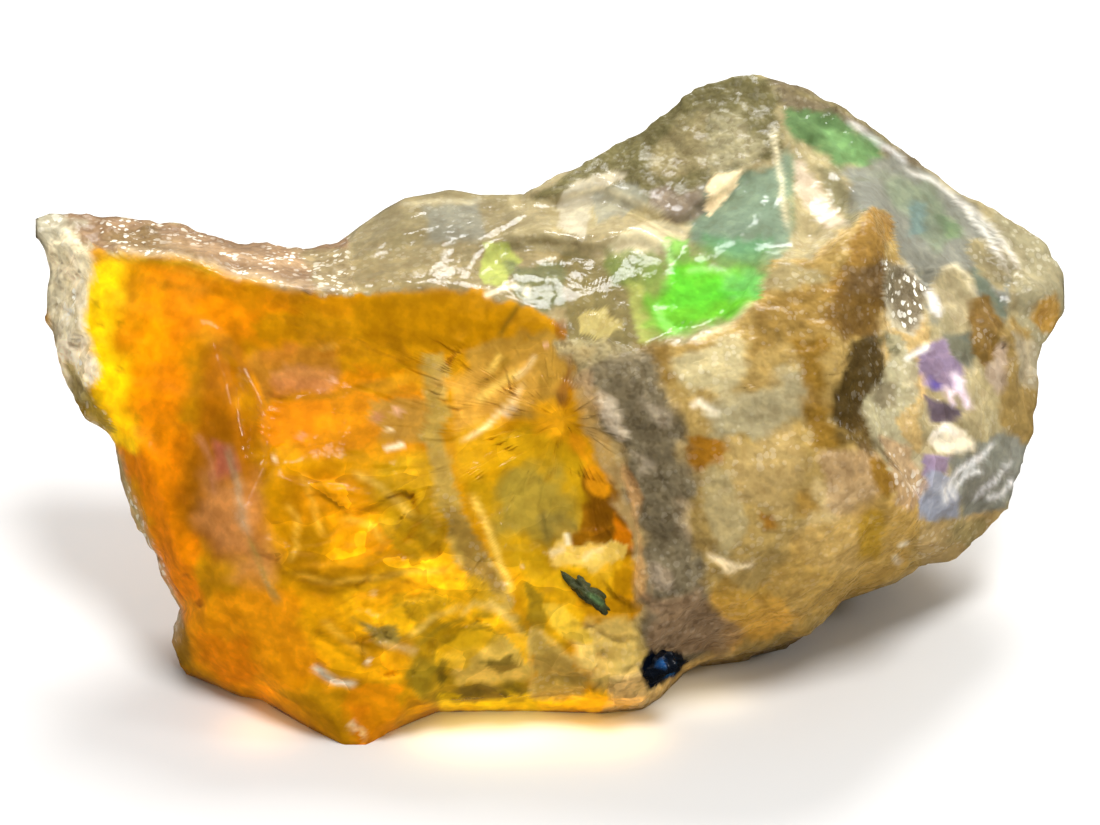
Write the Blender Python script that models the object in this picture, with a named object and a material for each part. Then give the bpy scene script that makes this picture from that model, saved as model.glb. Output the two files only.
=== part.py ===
"""A rough Ethiopian opal: one broken stone, amber at its left end, clear at its top, with host rock on its right.

Run with: blender --background --python part.py

The stone is blocked out as a carver would do it. Named lines of corners (ledge, lobe, ridge, scarp and so on) make a
cage of flat facets. The cage is cut into small triangles, its fresh breaks are hollowed like shells, its host rock is
raised in lumps, and the whole is set on its flat base.

Corners are given on the broken face, in millimetres: across (to the right), up (up the face) and out (out of it).
The face leans back from the upright, so that up and out both rise.
"""

import math

import bmesh
import bpy
import numpy as np
from mathutils.geometry import delaunay_2d_cdt

MM = 0.001
FACE_LEAN = math.radians(30.0)  # how far the broken face leans back from the upright
LONGEST_EDGE = 1.05  # mm; longer edges of the cage are cut in two
FLAT_BASE = 0.12  # mm; what lies lower than this is worn flat
NOISE_TABLE = 32  # the lattice of random numbers repeats after this many cells

RIM = [
    (-17.5, 17.85, -3.6), (-17.05, 18.05, -3.9), (-16.2, 18, -4), (-15.35, 17.85, -4.1),
    (-14, 17.85, -4.1), (-12.25, 17.6, -3.9), (-11.55, 17.3, -3.7), (-10.55, 17, -3.5),
    (-8.45, 16.85, -3), (-7.1, 17.05, -3), (-6.4, 17.6, -3.3), (-5.6, 18.2, -3.6),
    (-4.95, 18.55, -3.8), (-3.4, 18.85, -4), (-2.4, 18.65, -3.9), (-0.85, 18.7, -3.6),
    (0.15, 19.25, -3.8), (1.7, 19.95, -4.2), (3.25, 21, -4.6), (4.3, 21.8, -4.9), (5.3, 22.5, -5.1),
    (6.35, 22.75, -5.2), (6.95, 22.9, -5.2), (7.9, 22.6, -5.4), (10, 21.8, -6), (11.4, 20.95, -6.4),
    (12.4, 20.2, -6.7), (13.15, 19.65, -6.9), (14.2, 18.8, -7), (14.85, 18.6, -7.2),
    (16.05, 17.85, -7.5), (16.95, 17.3, -7.7), (17.5, 16.85, -7.7), (17.7, 16.15, -7.6),
    (17.85, 15.35, -7.4), (17.85, 14.95, -7.3), (17.55, 14.25, -7.1), (17.15, 13.75, -6.8),
    (16.9, 13.6, -6.6), (16.75, 12.8, -6.3), (16.8, 11.85, -6.1), (16.65, 10.55, -5.8),
    (16.35, 10.05, -5.6), (16.15, 9.2, -5.4), (15.7, 8, -5.4), (14.75, 6.95, -5.6), (13.95, 6.3, -5.7),
    (12.65, 5.95, -5.6), (11.6, 5.3, -5.7), (10.05, 4.75, -5.8), (9.2, 3.9, -5.8), (8.4, 3.35, -5.5),
    (6.5, 2.7, -4.9), (5.15, 2.6, -4.65), (4.55, 2.35, -4.05), (3.75, 1.6, -2.8), (3.15, 1.25, -2.15),
    (1.7, 1.1, -1.95), (-0.9, 1.2, -2.05), (-3.8, 1.15, -2), (-4.75, 0.8, -1.4), (-5.45, 0.5, -0.85),
    (-6.5, 0, 0), (-7.9, 0.6, -1), (-8.9, 1.05, -1.85), (-9.8, 1.55, -2.65), (-10.5, 1.65, -2.85),
    (-11.5, 2, -3.5), (-12.35, 2.35, -4.05), (-12.7, 2.9, -4.2), (-12.9, 3.4, -3.9),
    (-12.8, 3.95, -3.7), (-12.6, 4.65, -3.4), (-13.2, 5.75, -3), (-13.4, 6.45, -2.8),
    (-13.95, 7.3, -2.6), (-14.2, 8.25, -2.4), (-14.5, 9.4, -2.3), (-14.7, 10.1, -2.2),
    (-15, 10.5, -2.2), (-15.85, 11.1, -2.5), (-16.15, 11.65, -2.7), (-16.55, 12.7, -3),
    (-16.85, 13.55, -3.2), (-17.1, 14.45, -3.4), (-17.1, 15.4, -3.5), (-17.05, 16.15, -3.6),
    (-17.25, 16.85, -3.6), (-17.5, 17.3, -3.6),
]
FRONT = {
    "horn": [
        (-17.1, 17.65, -3.1), (-16.65, 17.7, -3.4),
    ],
    "ledge_edge": [
        (-15.8, 16.75, -2.2), (-14.5, 16.55, -1.4), (-12.4, 16.5, -0.3), (-11.3, 16.15, 0.2),
        (-10.75, 15.8, 0.5), (-9.5, 15.6, 0.9), (-8.1, 15.35, 1.1), (-7.2, 15.1, 1.2),
        (-6.25, 15.15, 1.2), (-4.5, 15.35, 1.1), (-3.1, 15.35, 1.2), (-2.4, 15.25, 1.3),
        (-1.35, 15, 1.6), (-0.55, 14.6, 1.9), (0.1, 14.2, 2.1), (0.6, 13.55, 2.3),
    ],
    "left_end_edge": [
        (-15.8, 16.75, -2.2), (-15.8, 15.15, -1.7), (-15.75, 13.6, -1.5), (-15.45, 12.6, -1.2),
        (-14.8, 11.5, -1.1), (-14.2, 10.75, -1),
    ],
    "left_face": [
        (-13.35, 14.35, -0.3), (-13.15, 11.65, 0), (-12.85, 9, -0.1), (-12.55, 6.3, -0.9),
    ],
    "lobe_crest": [
        (-12, 14.45, 0.3), (-11.1, 13.3, 0.9), (-10.5, 11.65, 1.6), (-10.2, 9.7, 1.9),
        (-10.3, 7.7, 1.9), (-11.1, 6.05, 1),
    ],
    "lobe_foot": [
        (-11.1, 14.25, 0.3), (-10.3, 13.35, 0.3), (-9.8, 12.15, 0.4), (-9.4, 10.85, 0.5),
        (-9.2, 9.65, 0.9),
    ],
    "recess_floor": [
        (-8.3, 13.65, 0.5), (-8, 12, 0.2), (-6.35, 12.35, 0.1), (-4.65, 12.65, 0.5),
    ],
    "recess_foot": [
        (-9.1, 9.6, 1.6), (-8.1, 9.7, 1.4), (-6.8, 9.6, 1.5), (-5.1, 9.95, 1.8), (-4.05, 10.35, 2.1),
    ],
    "ridge": [
        (-4.05, 13.15, 1.7), (-3.75, 11.35, 2.4), (-3.6, 10, 2.7), (-3.4, 8.4, 2.9),
        (-2.75, 6.65, 2.9), (-1.9, 5.5, 2.7), (-1.4, 4.45, 2.4), (-0.85, 3.05, 1.4),
    ],
    "low_fold": [
        (-10.25, 6.35, 1.3), (-8.6, 5.8, 1.5), (-6.75, 5.6, 1.7), (-4.3, 6.4, 2.1),
    ],
    "tip_spine": [
        (-6.5, 1.1, 0.3), (-6.8, 2.1, 0.8), (-7.45, 2.65, 1), (-7.95, 3, 1),
    ],
    "tip_shoulder": [
        (-6.8, 2.1, 0.8), (-6.05, 2.2, 1), (-4.95, 1.6, 0.2),
    ],
    "low_left": [
        (-11.55, 4.3, -1), (-10.95, 3.1, -1.7), (-9.8, 3.7, 0.2), (-8.85, 2.3, -0.4),
    ],
    "low_mid": [
        (-4.95, 3.75, 1.6), (-3.65, 2.75, 1.3), (-3.3, 4.75, 2),
    ],
    "yellow_hollow": [
        (-2, 11.65, 2), (-0.65, 10, 1.8), (-1, 7.7, 1.7), (0.35, 5.05, 1.7), (0.35, 3.05, 1),
    ],
    "brow": [
        (0.35, 12, 2.5), (1.3, 9.85, 2.3), (1.65, 7.4, 2), (2.35, 4.75, 1.9), (2.4, 2.7, 0.9),
    ],
    "vein_left": [
        (1.15, 12.6, 2.7), (1.85, 10.7, 3), (2.55, 9.05, 3.2), (3, 7.25, 3.1), (3.1, 5.4, 2.6),
        (3, 3.55, 1.3),
    ],
    "vein_right": [
        (3.3, 13.25, 2.2), (4.2, 11.35, 3), (4.6, 9.35, 3.3), (4.6, 7.4, 3.1), (4.9, 5.4, 1.9),
        (5.45, 3.8, -1.2),
    ],
    "matrix_face": [
        (6.25, 11.65, 2.9), (7.05, 9.35, 3.2), (7.25, 7.05, 2.3), (7.15, 5, 0),
    ],
    "matrix_side": [
        (9.3, 6.35, 0.7), (8.45, 4.25, -2.2), (10.6, 6.8, -0.4), (11.95, 7.15, -1.6),
    ],
    "scarp_top": [
        (10.65, 17.95, -1), (10, 17.05, -0.2), (8.7, 16.2, 0.3), (7.4, 16.1, 0.4), (6.95, 14.9, 1.2),
        (6, 13.95, 1.8), (4.6, 13.4, 2.1),
    ],
    "scarp_under": [
        (10.5, 18.3, -1.9), (9.75, 17.45, -1.1), (8.6, 16.6, -0.5), (7.15, 16.55, -0.4),
        (6.6, 15.1, 0.4), (5.7, 14.3, 1), (4.5, 13.8, 1.5),
    ],
    "scarp_crest": [
        (10.4, 16.25, 0.3), (9.25, 14, 1.6), (9.35, 12, 2.4), (9.6, 10.35, 2.7), (10.55, 9.1, 2.2),
        (11.3, 8.35, 1.4),
    ],
    "step_foot": [
        (11.65, 16.3, -1.4), (11.15, 14.7, -0.6), (10.95, 13, 0.1), (10.55, 11.35, 0.8),
        (10.95, 10.1, 0.9), (11.75, 9, 0.4), (12.1, 7.65, -0.8),
    ],
    "peak_ridge": [
        (7.5, 21.95, -4.6), (7.65, 20.15, -3.1), (7.9, 18.4, -1.9), (8, 17.1, -1.1),
    ],
    "peak_gully": [
        (8.5, 19.55, -3.7), (8.65, 18.25, -2.8), (8.85, 17.15, -2),
    ],
    "peak_foot": [
        (0.2, 18.55, -2.7), (1.7, 19, -2.8), (3.05, 18.3, -2), (4.25, 17.7, -1.5), (5.35, 18.6, -2.2),
        (6.45, 19.45, -2.8),
    ],
    "peak_under": [
        (0.25, 18.25, -3.1), (1.75, 18.65, -3.2), (3.05, 17.95, -2.5), (4.3, 17.4, -2),
        (5.5, 18.3, -2.7), (6.6, 19, -3.1),
    ],
    "clear_step": [
        (-1.7, 17.1, -1), (-0.05, 17.3, -0.8), (1.35, 16.9, -0.5), (3, 17.4, -0.8), (3.95, 16.8, -0.3),
    ],
    "clear_under": [
        (-1.55, 16.7, -1.2), (-0.05, 16.75, -1.1), (1.4, 16.5, -0.8), (3, 16.95, -1),
        (4.1, 16.4, -0.5),
    ],
    "clear_low": [
        (-1, 16, 0.3), (1.65, 15.3, 1), (2.95, 13.95, 1.7),
    ],
    "fire_face": [
        (5, 16.25, -0.1), (6.2, 17.05, -0.8),
    ],
    "green_face": [
        (9.7, 19.5, -4), (10, 17.95, -2.7), (8.9, 17.35, -1.8),
    ],
    "dome_crest": [
        (11.3, 19.4, -5.2), (13.05, 18.4, -5.6), (14.35, 17, -5.6), (15.25, 15.45, -5.3),
        (15.85, 13.75, -5.2),
    ],
    "dome_side": [
        (12.05, 17.45, -3.6), (13.25, 16.1, -3.6), (14.1, 14.05, -3.4), (14.75, 11.65, -3.3),
        (14.75, 9.8, -3.2),
    ],
    "purple_face": [
        (12.35, 13.5, -1.3), (13.5, 13, -2), (13.55, 11.5, -1.7), (12.3, 11.75, -0.6),
    ],
    "pink_face": [
        (12.7, 10.35, -0.7), (14, 10, -1.9), (12.55, 9.15, -0.5),
    ],
    "low_right": [
        (13.65, 8.3, -2.3), (14.95, 8.95, -3.7), (12.9, 6.75, -3),
    ],
    "far_lump": [
        (16.15, 16.45, -6.5), (16.9, 15.45, -6), (16.25, 14.25, -5.9),
    ],
    "hump": [
        (-5.05, 17.2, -1.4), (-3.35, 17.55, -1.9), (-7.05, 16.1, -0.8), (-4, 16.25, 0),
    ],
    "ledge_mid": [
        (-13.55, 17.15, -2.7), (-11.25, 16.65, -1.4), (-9.05, 16.15, -0.6),
    ],
}
BACK = {
    "shoulder": [
        (-15.55, 15.45, -4.8), (-13.1, 15.7, -5.9), (-10.35, 15.65, -6.4), (-7.6, 15.55, -6.3),
        (-5.15, 16.45, -6.2), (-3.1, 17.2, -6.5), (-0.7, 17.4, -7.2), (1.75, 18.3, -8),
        (4, 19.9, -8.4), (6.2, 21.1, -8.2), (8.2, 20.8, -8.8), (10.35, 19.75, -9.4),
        (12.3, 18.55, -9.9), (14.05, 17.3, -10), (15.8, 16.05, -9.4),
    ],
    "spine": [
        (6.2, 21.1, -8.2), (5.7, 18.75, -10.3), (5, 15.6, -12), (3.55, 12.4, -12.6), (3.2, 9.2, -12.9),
    ],
    "left_wing": [
        (-15.55, 15.45, -4.8), (-15.05, 12.2, -4.5), (-13.7, 8.95, -4.8), (-12.05, 6.2, -5.7),
        (-11.35, 3.8, -5.4),
    ],
    "left_back": [
        (-13.1, 15.7, -5.9), (-12.45, 12.7, -6.6), (-10.65, 9.6, -8.3), (-9.1, 6.95, -9.5),
    ],
    "scar_rim": [
        (-7.6, 15.55, -6.3), (-7.35, 13.1, -8.4), (-5.8, 10.3, -10.2), (-4.25, 7.6, -11.3),
    ],
    "scar_floor": [
        (-3.1, 17.2, -6.5), (-2.8, 14.45, -8), (-1.75, 11, -10.2),
    ],
    "mid_back": [
        (1.75, 18.3, -8), (1.25, 15.2, -10.2), (0.7, 11.7, -12), (0.35, 8.5, -12.4),
    ],
    "right_back": [
        (10.35, 19.75, -9.4), (10.65, 16.3, -12), (10.35, 12.75, -13), (9.65, 9.55, -13.4),
    ],
    "right_edge": [
        (14.05, 17.3, -10), (14.3, 14.5, -10.8), (13.8, 11, -11.2), (13.15, 8, -9.6),
    ],
    "right_end": [
        (15.8, 16.05, -9.4), (16.2, 13.45, -8.4), (15.8, 10.65, -7.8), (15.1, 8.2, -7.3),
    ],
    "base_back": [
        (-10, 4.5, -7.85), (-7.7, 5.4, -9.3), (-4.2, 5.85, -10.1), (-1.05, 6.2, -10.7),
        (3.9, 6.7, -11.65), (8.55, 7.05, -12.25), (10.6, 6.2, -10.8), (12.05, 5.9, -8.8),
    ],
}

BLUNT = 0.35  # mm; how blunt the edge round a chip is
# Shell-shaped hollows left where a chip broke away: centre of the ball that fits the hollow, and its radius.
CHIPS = {
    "recess": ((-5.9, 13.2, 9.4), 8.6),
    "low_front": ((-4.6, 3.2, 13.0), 11.2),
    "yellow_hollow": ((0.5, 8.2, 13.6), 11.6),
    "back_left": ((-10.5, 11.5, -18.0), 11.6),
    "back_middle": ((-1.5, 11.5, -20.5), 11.3),
    "back_right": ((7.5, 11.5, -25.5), 13.9),
    "back_top": ((5.0, 21.5, -19.0), 11.6),
}

# The host rock's edge on the broken face, and how lumpy it is.
ROCK_EDGE = [
    (0.7, 13.0), (2.3, 10.4), (3.1, 7.2), (3.1, 3.4), (2.6, 1.0), (9.0, 1.0), (12.3, 5.0), (12.2, 8.6), (10.9, 10.2),
    (10.9, 12.6), (11.4, 16.0), (10.7, 18.0), (9.3, 16.6), (7.2, 16.4), (5.6, 14.2), (3.4, 13.4),
]
ROCK_LUMP, ROCK_GRAIN = 0.20, 0.10  # mm, heights of the large and the small lumps
ROCK_LUMP_SIZE, ROCK_GRAIN_SIZE = 2.2, 0.9  # mm, their widths
ROUGHNESS, ROUGHNESS_SIZE = 0.05, 1.3  # mm, the same for the rest of the stone


def cage_shell(forms):
    """(corners, triangles): the rim and every form's line of corners, joined flat facet by facet.
    Each line is kept as an edge, so that its crest or its foot stays sharp."""
    corners, lines = [tuple(p) for p in RIM], []
    for line in forms.values():
        for corner in line:
            if corner not in corners:
                corners.append(corner)
        lines += [(corners.index(a), corners.index(b)) for a, b in zip(line, line[1:])]
    flat = [(across, up) for across, up, _ in corners]
    made = delaunay_2d_cdt(flat, lines, [list(range(len(RIM)))], 1, 1e-6)
    if len(made[0]) != len(corners):
        raise ValueError("two lines of corners cross")
    origin = [source[0] for source in made[3]]
    return corners, [[origin[i] for i in face] for face in made[2]]


def cage_mesh():
    """The closed cage as a bmesh: the front facets, the back facets turned round, and the rim that both share."""
    bm = bmesh.new()
    made = {}
    for forms, back in ((FRONT, False), (BACK, True)):
        corners, faces = cage_shell(forms)
        for face in faces:
            ring = []
            for corner in (corners[i] for i in face):
                key = corner if corner in RIM else (corner, back)
                if key not in made:
                    made[key] = bm.verts.new(corner)
                ring.append(made[key])
            bm.faces.new(ring[::-1] if back else ring)
    bm.normal_update()
    return bm


def cut_long_edges(bm):
    """Cuts every edge over LONGEST_EDGE in two, again and again, and turns what is left into well-shaped triangles."""
    while True:
        long_edges = [e for e in bm.edges if e.calc_length() > LONGEST_EDGE]
        if not long_edges:
            return
        bmesh.ops.subdivide_edges(bm, edges=long_edges, cuts=1)
        bmesh.ops.triangulate(bm, faces=bm.faces[:])


def smooth_steps(x):
    x = np.clip(x, 0.0, 1.0)
    return x * x * (3 - 2 * x)


def noise(points, size, seed):
    """Smooth noise from -1 to 1: random numbers on a lattice of the given cell size, blended between its corners."""
    table = np.random.default_rng(seed).uniform(-1, 1, (NOISE_TABLE,) * 3)
    place = points / size
    cell = np.floor(place).astype(int)
    share = smooth_steps(place - cell)
    total = np.zeros(len(points))
    for corner in np.ndindex(2, 2, 2):
        weight = np.prod(np.where(corner, share, 1 - share), axis=1)
        total += weight * table[tuple(((cell + corner) % NOISE_TABLE).T)]
    return total


def edge_distance(across, up, outline):
    """Distance to a closed outline on the broken face, positive inside it."""
    nearest = np.full(len(across), np.inf)
    inside = np.zeros(len(across), bool)
    for (ax, ay), (bx, by) in zip(outline, outline[1:] + outline[:1]):
        dx, dy = bx - ax, by - ay
        share = np.clip(((across - ax) * dx + (up - ay) * dy) / (dx * dx + dy * dy), 0, 1)
        nearest = np.minimum(nearest, np.hypot(across - ax - share * dx, up - ay - share * dy))
        crosses = (ay > up) != (by > up)
        inside ^= crosses & (across < ax + (up - ay) * dx / (dy if dy else 1.0))
    return np.where(inside, nearest, -nearest)


def hollowed(points):
    """Each chip presses what lies inside its ball back onto the ball, with a slightly blunted edge round it."""
    for centre, radius in CHIPS.values():
        away = points - np.array(centre)
        far = np.linalg.norm(away, axis=1)[:, None]
        pressed = (far + radius + np.sqrt((far - radius) ** 2 + BLUNT**2)) / 2
        points = np.array(centre) + away * np.where(far < radius + 4 * BLUNT, pressed / far, 1.0)
    return points


def roughened(points, normals):
    """The host rock stands in lumps over the opal, and the opal has a slight unevenness of its own."""
    rock = smooth_steps(edge_distance(points[:, 0], points[:, 1], ROCK_EDGE) / 0.6 + 0.5)
    rock *= normals[:, 2] > -0.2
    lumps = ROCK_LUMP * (0.8 + noise(points, ROCK_LUMP_SIZE, 1)) + ROCK_GRAIN * noise(points, ROCK_GRAIN_SIZE, 2)
    height = rock * lumps + (1 - rock) * ROUGHNESS * noise(points, ROUGHNESS_SIZE, 3)
    return points + normals * height[:, None]


def upright(points):
    """Face coordinates turned into the stone's own frame: X right, Y to the back, Z up."""
    across, up, out = points.T
    sin, cos = math.sin(FACE_LEAN), math.cos(FACE_LEAN)
    return np.stack([across, up * sin - out * cos, up * cos + out * sin], axis=1)


def set_on_base(points):
    """The lowest part worn flat at Z 0, and the origin at the middle of the stone's box, on that flat."""
    low = points[:, 2] < FLAT_BASE
    points[low, 2] = 0.0
    middle = (points.min(axis=0) + points.max(axis=0)) / 2
    return points - [middle[0], middle[1], 0.0]


def opal_material():
    material = bpy.data.materials.new("opal")
    material.use_nodes = True
    shader = material.node_tree.nodes["Principled BSDF"]
    shader.inputs["Base Color"].default_value = (0.85, 0.42, 0.06, 1.0)
    shader.inputs["Roughness"].default_value = 0.15
    shader.inputs["IOR"].default_value = 1.45
    return material


def build_stone():
    bm = cage_mesh()
    cut_long_edges(bm)
    points = hollowed(np.array([v.co for v in bm.verts]))
    for vert, point in zip(bm.verts, points):
        vert.co = point
    bm.normal_update()
    points = roughened(points, np.array([v.normal for v in bm.verts]))
    for vert, point in zip(bm.verts, set_on_base(upright(points)) * MM):
        vert.co = point
    mesh = bpy.data.meshes.new("opal_stone")
    bm.to_mesh(mesh)
    bm.free()
    mesh.materials.append(opal_material())
    stone = bpy.data.objects.new("opal_stone", mesh)
    bpy.context.scene.collection.objects.link(stone)
    print("opal_stone:", len(mesh.polygons), "triangles,", [round(d * 1000, 2) for d in stone.dimensions], "mm")


def main():
    for obj in list(bpy.data.objects):
        bpy.data.objects.remove(obj)
    build_stone()


main()
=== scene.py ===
"""A rough Ethiopian opal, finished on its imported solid: a lesson in cells."""

# %% [markdown]
# # A rough opal
# The real object is one broken stone, 35 mm long. Its left end is amber, its top is clear and milky, and a
# skin of tan host rock covers its right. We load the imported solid, which fixes the size and the place, and
# then make a finer surface for the same stone: the same corners, but with the small relief, the colours and
# the gloss of the real one.

import math

import bpy
import numpy as np
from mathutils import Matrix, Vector
from mathutils.geometry import delaunay_2d_cdt


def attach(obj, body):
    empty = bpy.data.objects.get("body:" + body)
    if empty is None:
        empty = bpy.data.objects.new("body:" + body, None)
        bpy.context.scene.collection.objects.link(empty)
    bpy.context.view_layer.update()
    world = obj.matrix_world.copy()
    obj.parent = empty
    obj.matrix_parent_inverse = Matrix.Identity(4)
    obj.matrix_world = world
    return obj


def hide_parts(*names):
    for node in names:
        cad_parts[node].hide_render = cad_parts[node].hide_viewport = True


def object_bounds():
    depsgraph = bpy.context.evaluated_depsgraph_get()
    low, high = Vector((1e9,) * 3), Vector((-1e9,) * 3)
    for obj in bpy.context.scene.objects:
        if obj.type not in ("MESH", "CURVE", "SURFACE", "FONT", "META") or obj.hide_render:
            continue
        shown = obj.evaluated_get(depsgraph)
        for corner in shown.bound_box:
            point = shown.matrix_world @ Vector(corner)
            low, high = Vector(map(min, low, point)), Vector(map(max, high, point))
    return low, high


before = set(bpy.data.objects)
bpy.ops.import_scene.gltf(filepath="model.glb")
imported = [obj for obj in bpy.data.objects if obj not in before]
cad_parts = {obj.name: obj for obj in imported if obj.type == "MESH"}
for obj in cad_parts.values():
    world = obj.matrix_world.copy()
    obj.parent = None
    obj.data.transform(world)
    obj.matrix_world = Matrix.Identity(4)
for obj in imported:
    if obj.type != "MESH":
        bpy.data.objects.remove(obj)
cad_low, cad_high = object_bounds()
print("solid:", [round((b - a) * 1000, 2) for a, b in zip(cad_low, cad_high)], "mm")

# %% [markdown]
# ## Corners of the stone
# A stone has no profile to turn or sweep, so it is described as a carver blocks it out: lines of corners
# along the things that a hand could follow, such as the ledge, the lobe, the curved ridge and the scarp of
# the host rock. They are given on the broken face, in millimetres: across (to the right), up (up the face)
# and out (out of it). The face leans back by 30 degrees. The rim is the stone's outline on that face, and
# front and back share it.

# %% Lines of corners
MM = 0.001
FACE_LEAN = math.radians(30.0)
RIM = [
    (-17.5, 17.85, -3.6), (-17.05, 18.05, -3.9), (-16.2, 18, -4), (-15.35, 17.85, -4.1), (-14, 17.85, -4.1),
    (-12.25, 17.6, -3.9), (-11.55, 17.3, -3.7), (-10.55, 17, -3.5), (-8.45, 16.85, -3), (-7.1, 17.05, -3),
    (-6.4, 17.6, -3.3), (-5.6, 18.2, -3.6), (-4.95, 18.55, -3.8), (-3.4, 18.85, -4), (-2.4, 18.65, -3.9),
    (-0.85, 18.7, -3.6), (0.15, 19.25, -3.8), (1.7, 19.95, -4.2), (3.25, 21, -4.6), (4.3, 21.8, -4.9),
    (5.3, 22.5, -5.1), (6.35, 22.75, -5.2), (6.95, 22.9, -5.2), (7.9, 22.6, -5.4), (10, 21.8, -6),
    (11.4, 20.95, -6.4), (12.4, 20.2, -6.7), (13.15, 19.65, -6.9), (14.2, 18.8, -7), (14.85, 18.6, -7.2),
    (16.05, 17.85, -7.5), (16.95, 17.3, -7.7), (17.5, 16.85, -7.7), (17.7, 16.15, -7.6),
    (17.85, 15.35, -7.4), (17.85, 14.95, -7.3), (17.55, 14.25, -7.1), (17.15, 13.75, -6.8),
    (16.9, 13.6, -6.6), (16.75, 12.8, -6.3), (16.8, 11.85, -6.1), (16.65, 10.55, -5.8),
    (16.35, 10.05, -5.6), (16.15, 9.2, -5.4), (15.7, 8, -5.4), (14.75, 6.95, -5.6), (13.95, 6.3, -5.7),
    (12.65, 5.95, -5.6), (11.6, 5.3, -5.7), (10.05, 4.75, -5.8), (9.2, 3.9, -5.8), (8.4, 3.35, -5.5),
    (6.5, 2.7, -4.9), (5.15, 2.6, -4.65), (4.55, 2.35, -4.05), (3.75, 1.6, -2.8), (3.15, 1.25, -2.15),
    (1.7, 1.1, -1.95), (-0.9, 1.2, -2.05), (-3.8, 1.15, -2), (-4.75, 0.8, -1.4), (-5.45, 0.5, -0.85),
    (-6.5, 0, 0), (-7.9, 0.6, -1), (-8.9, 1.05, -1.85), (-9.8, 1.55, -2.65), (-10.5, 1.65, -2.85),
    (-11.5, 2, -3.5), (-12.35, 2.35, -4.05), (-12.7, 2.9, -4.2), (-12.9, 3.4, -3.9), (-12.8, 3.95, -3.7),
    (-12.6, 4.65, -3.4), (-13.2, 5.75, -3), (-13.4, 6.45, -2.8), (-13.95, 7.3, -2.6), (-14.2, 8.25, -2.4),
    (-14.5, 9.4, -2.3), (-14.7, 10.1, -2.2), (-15, 10.5, -2.2), (-15.85, 11.1, -2.5), (-16.15, 11.65, -2.7),
    (-16.55, 12.7, -3), (-16.85, 13.55, -3.2), (-17.1, 14.45, -3.4), (-17.1, 15.4, -3.5),
    (-17.05, 16.15, -3.6), (-17.25, 16.85, -3.6), (-17.5, 17.3, -3.6),
]
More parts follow.
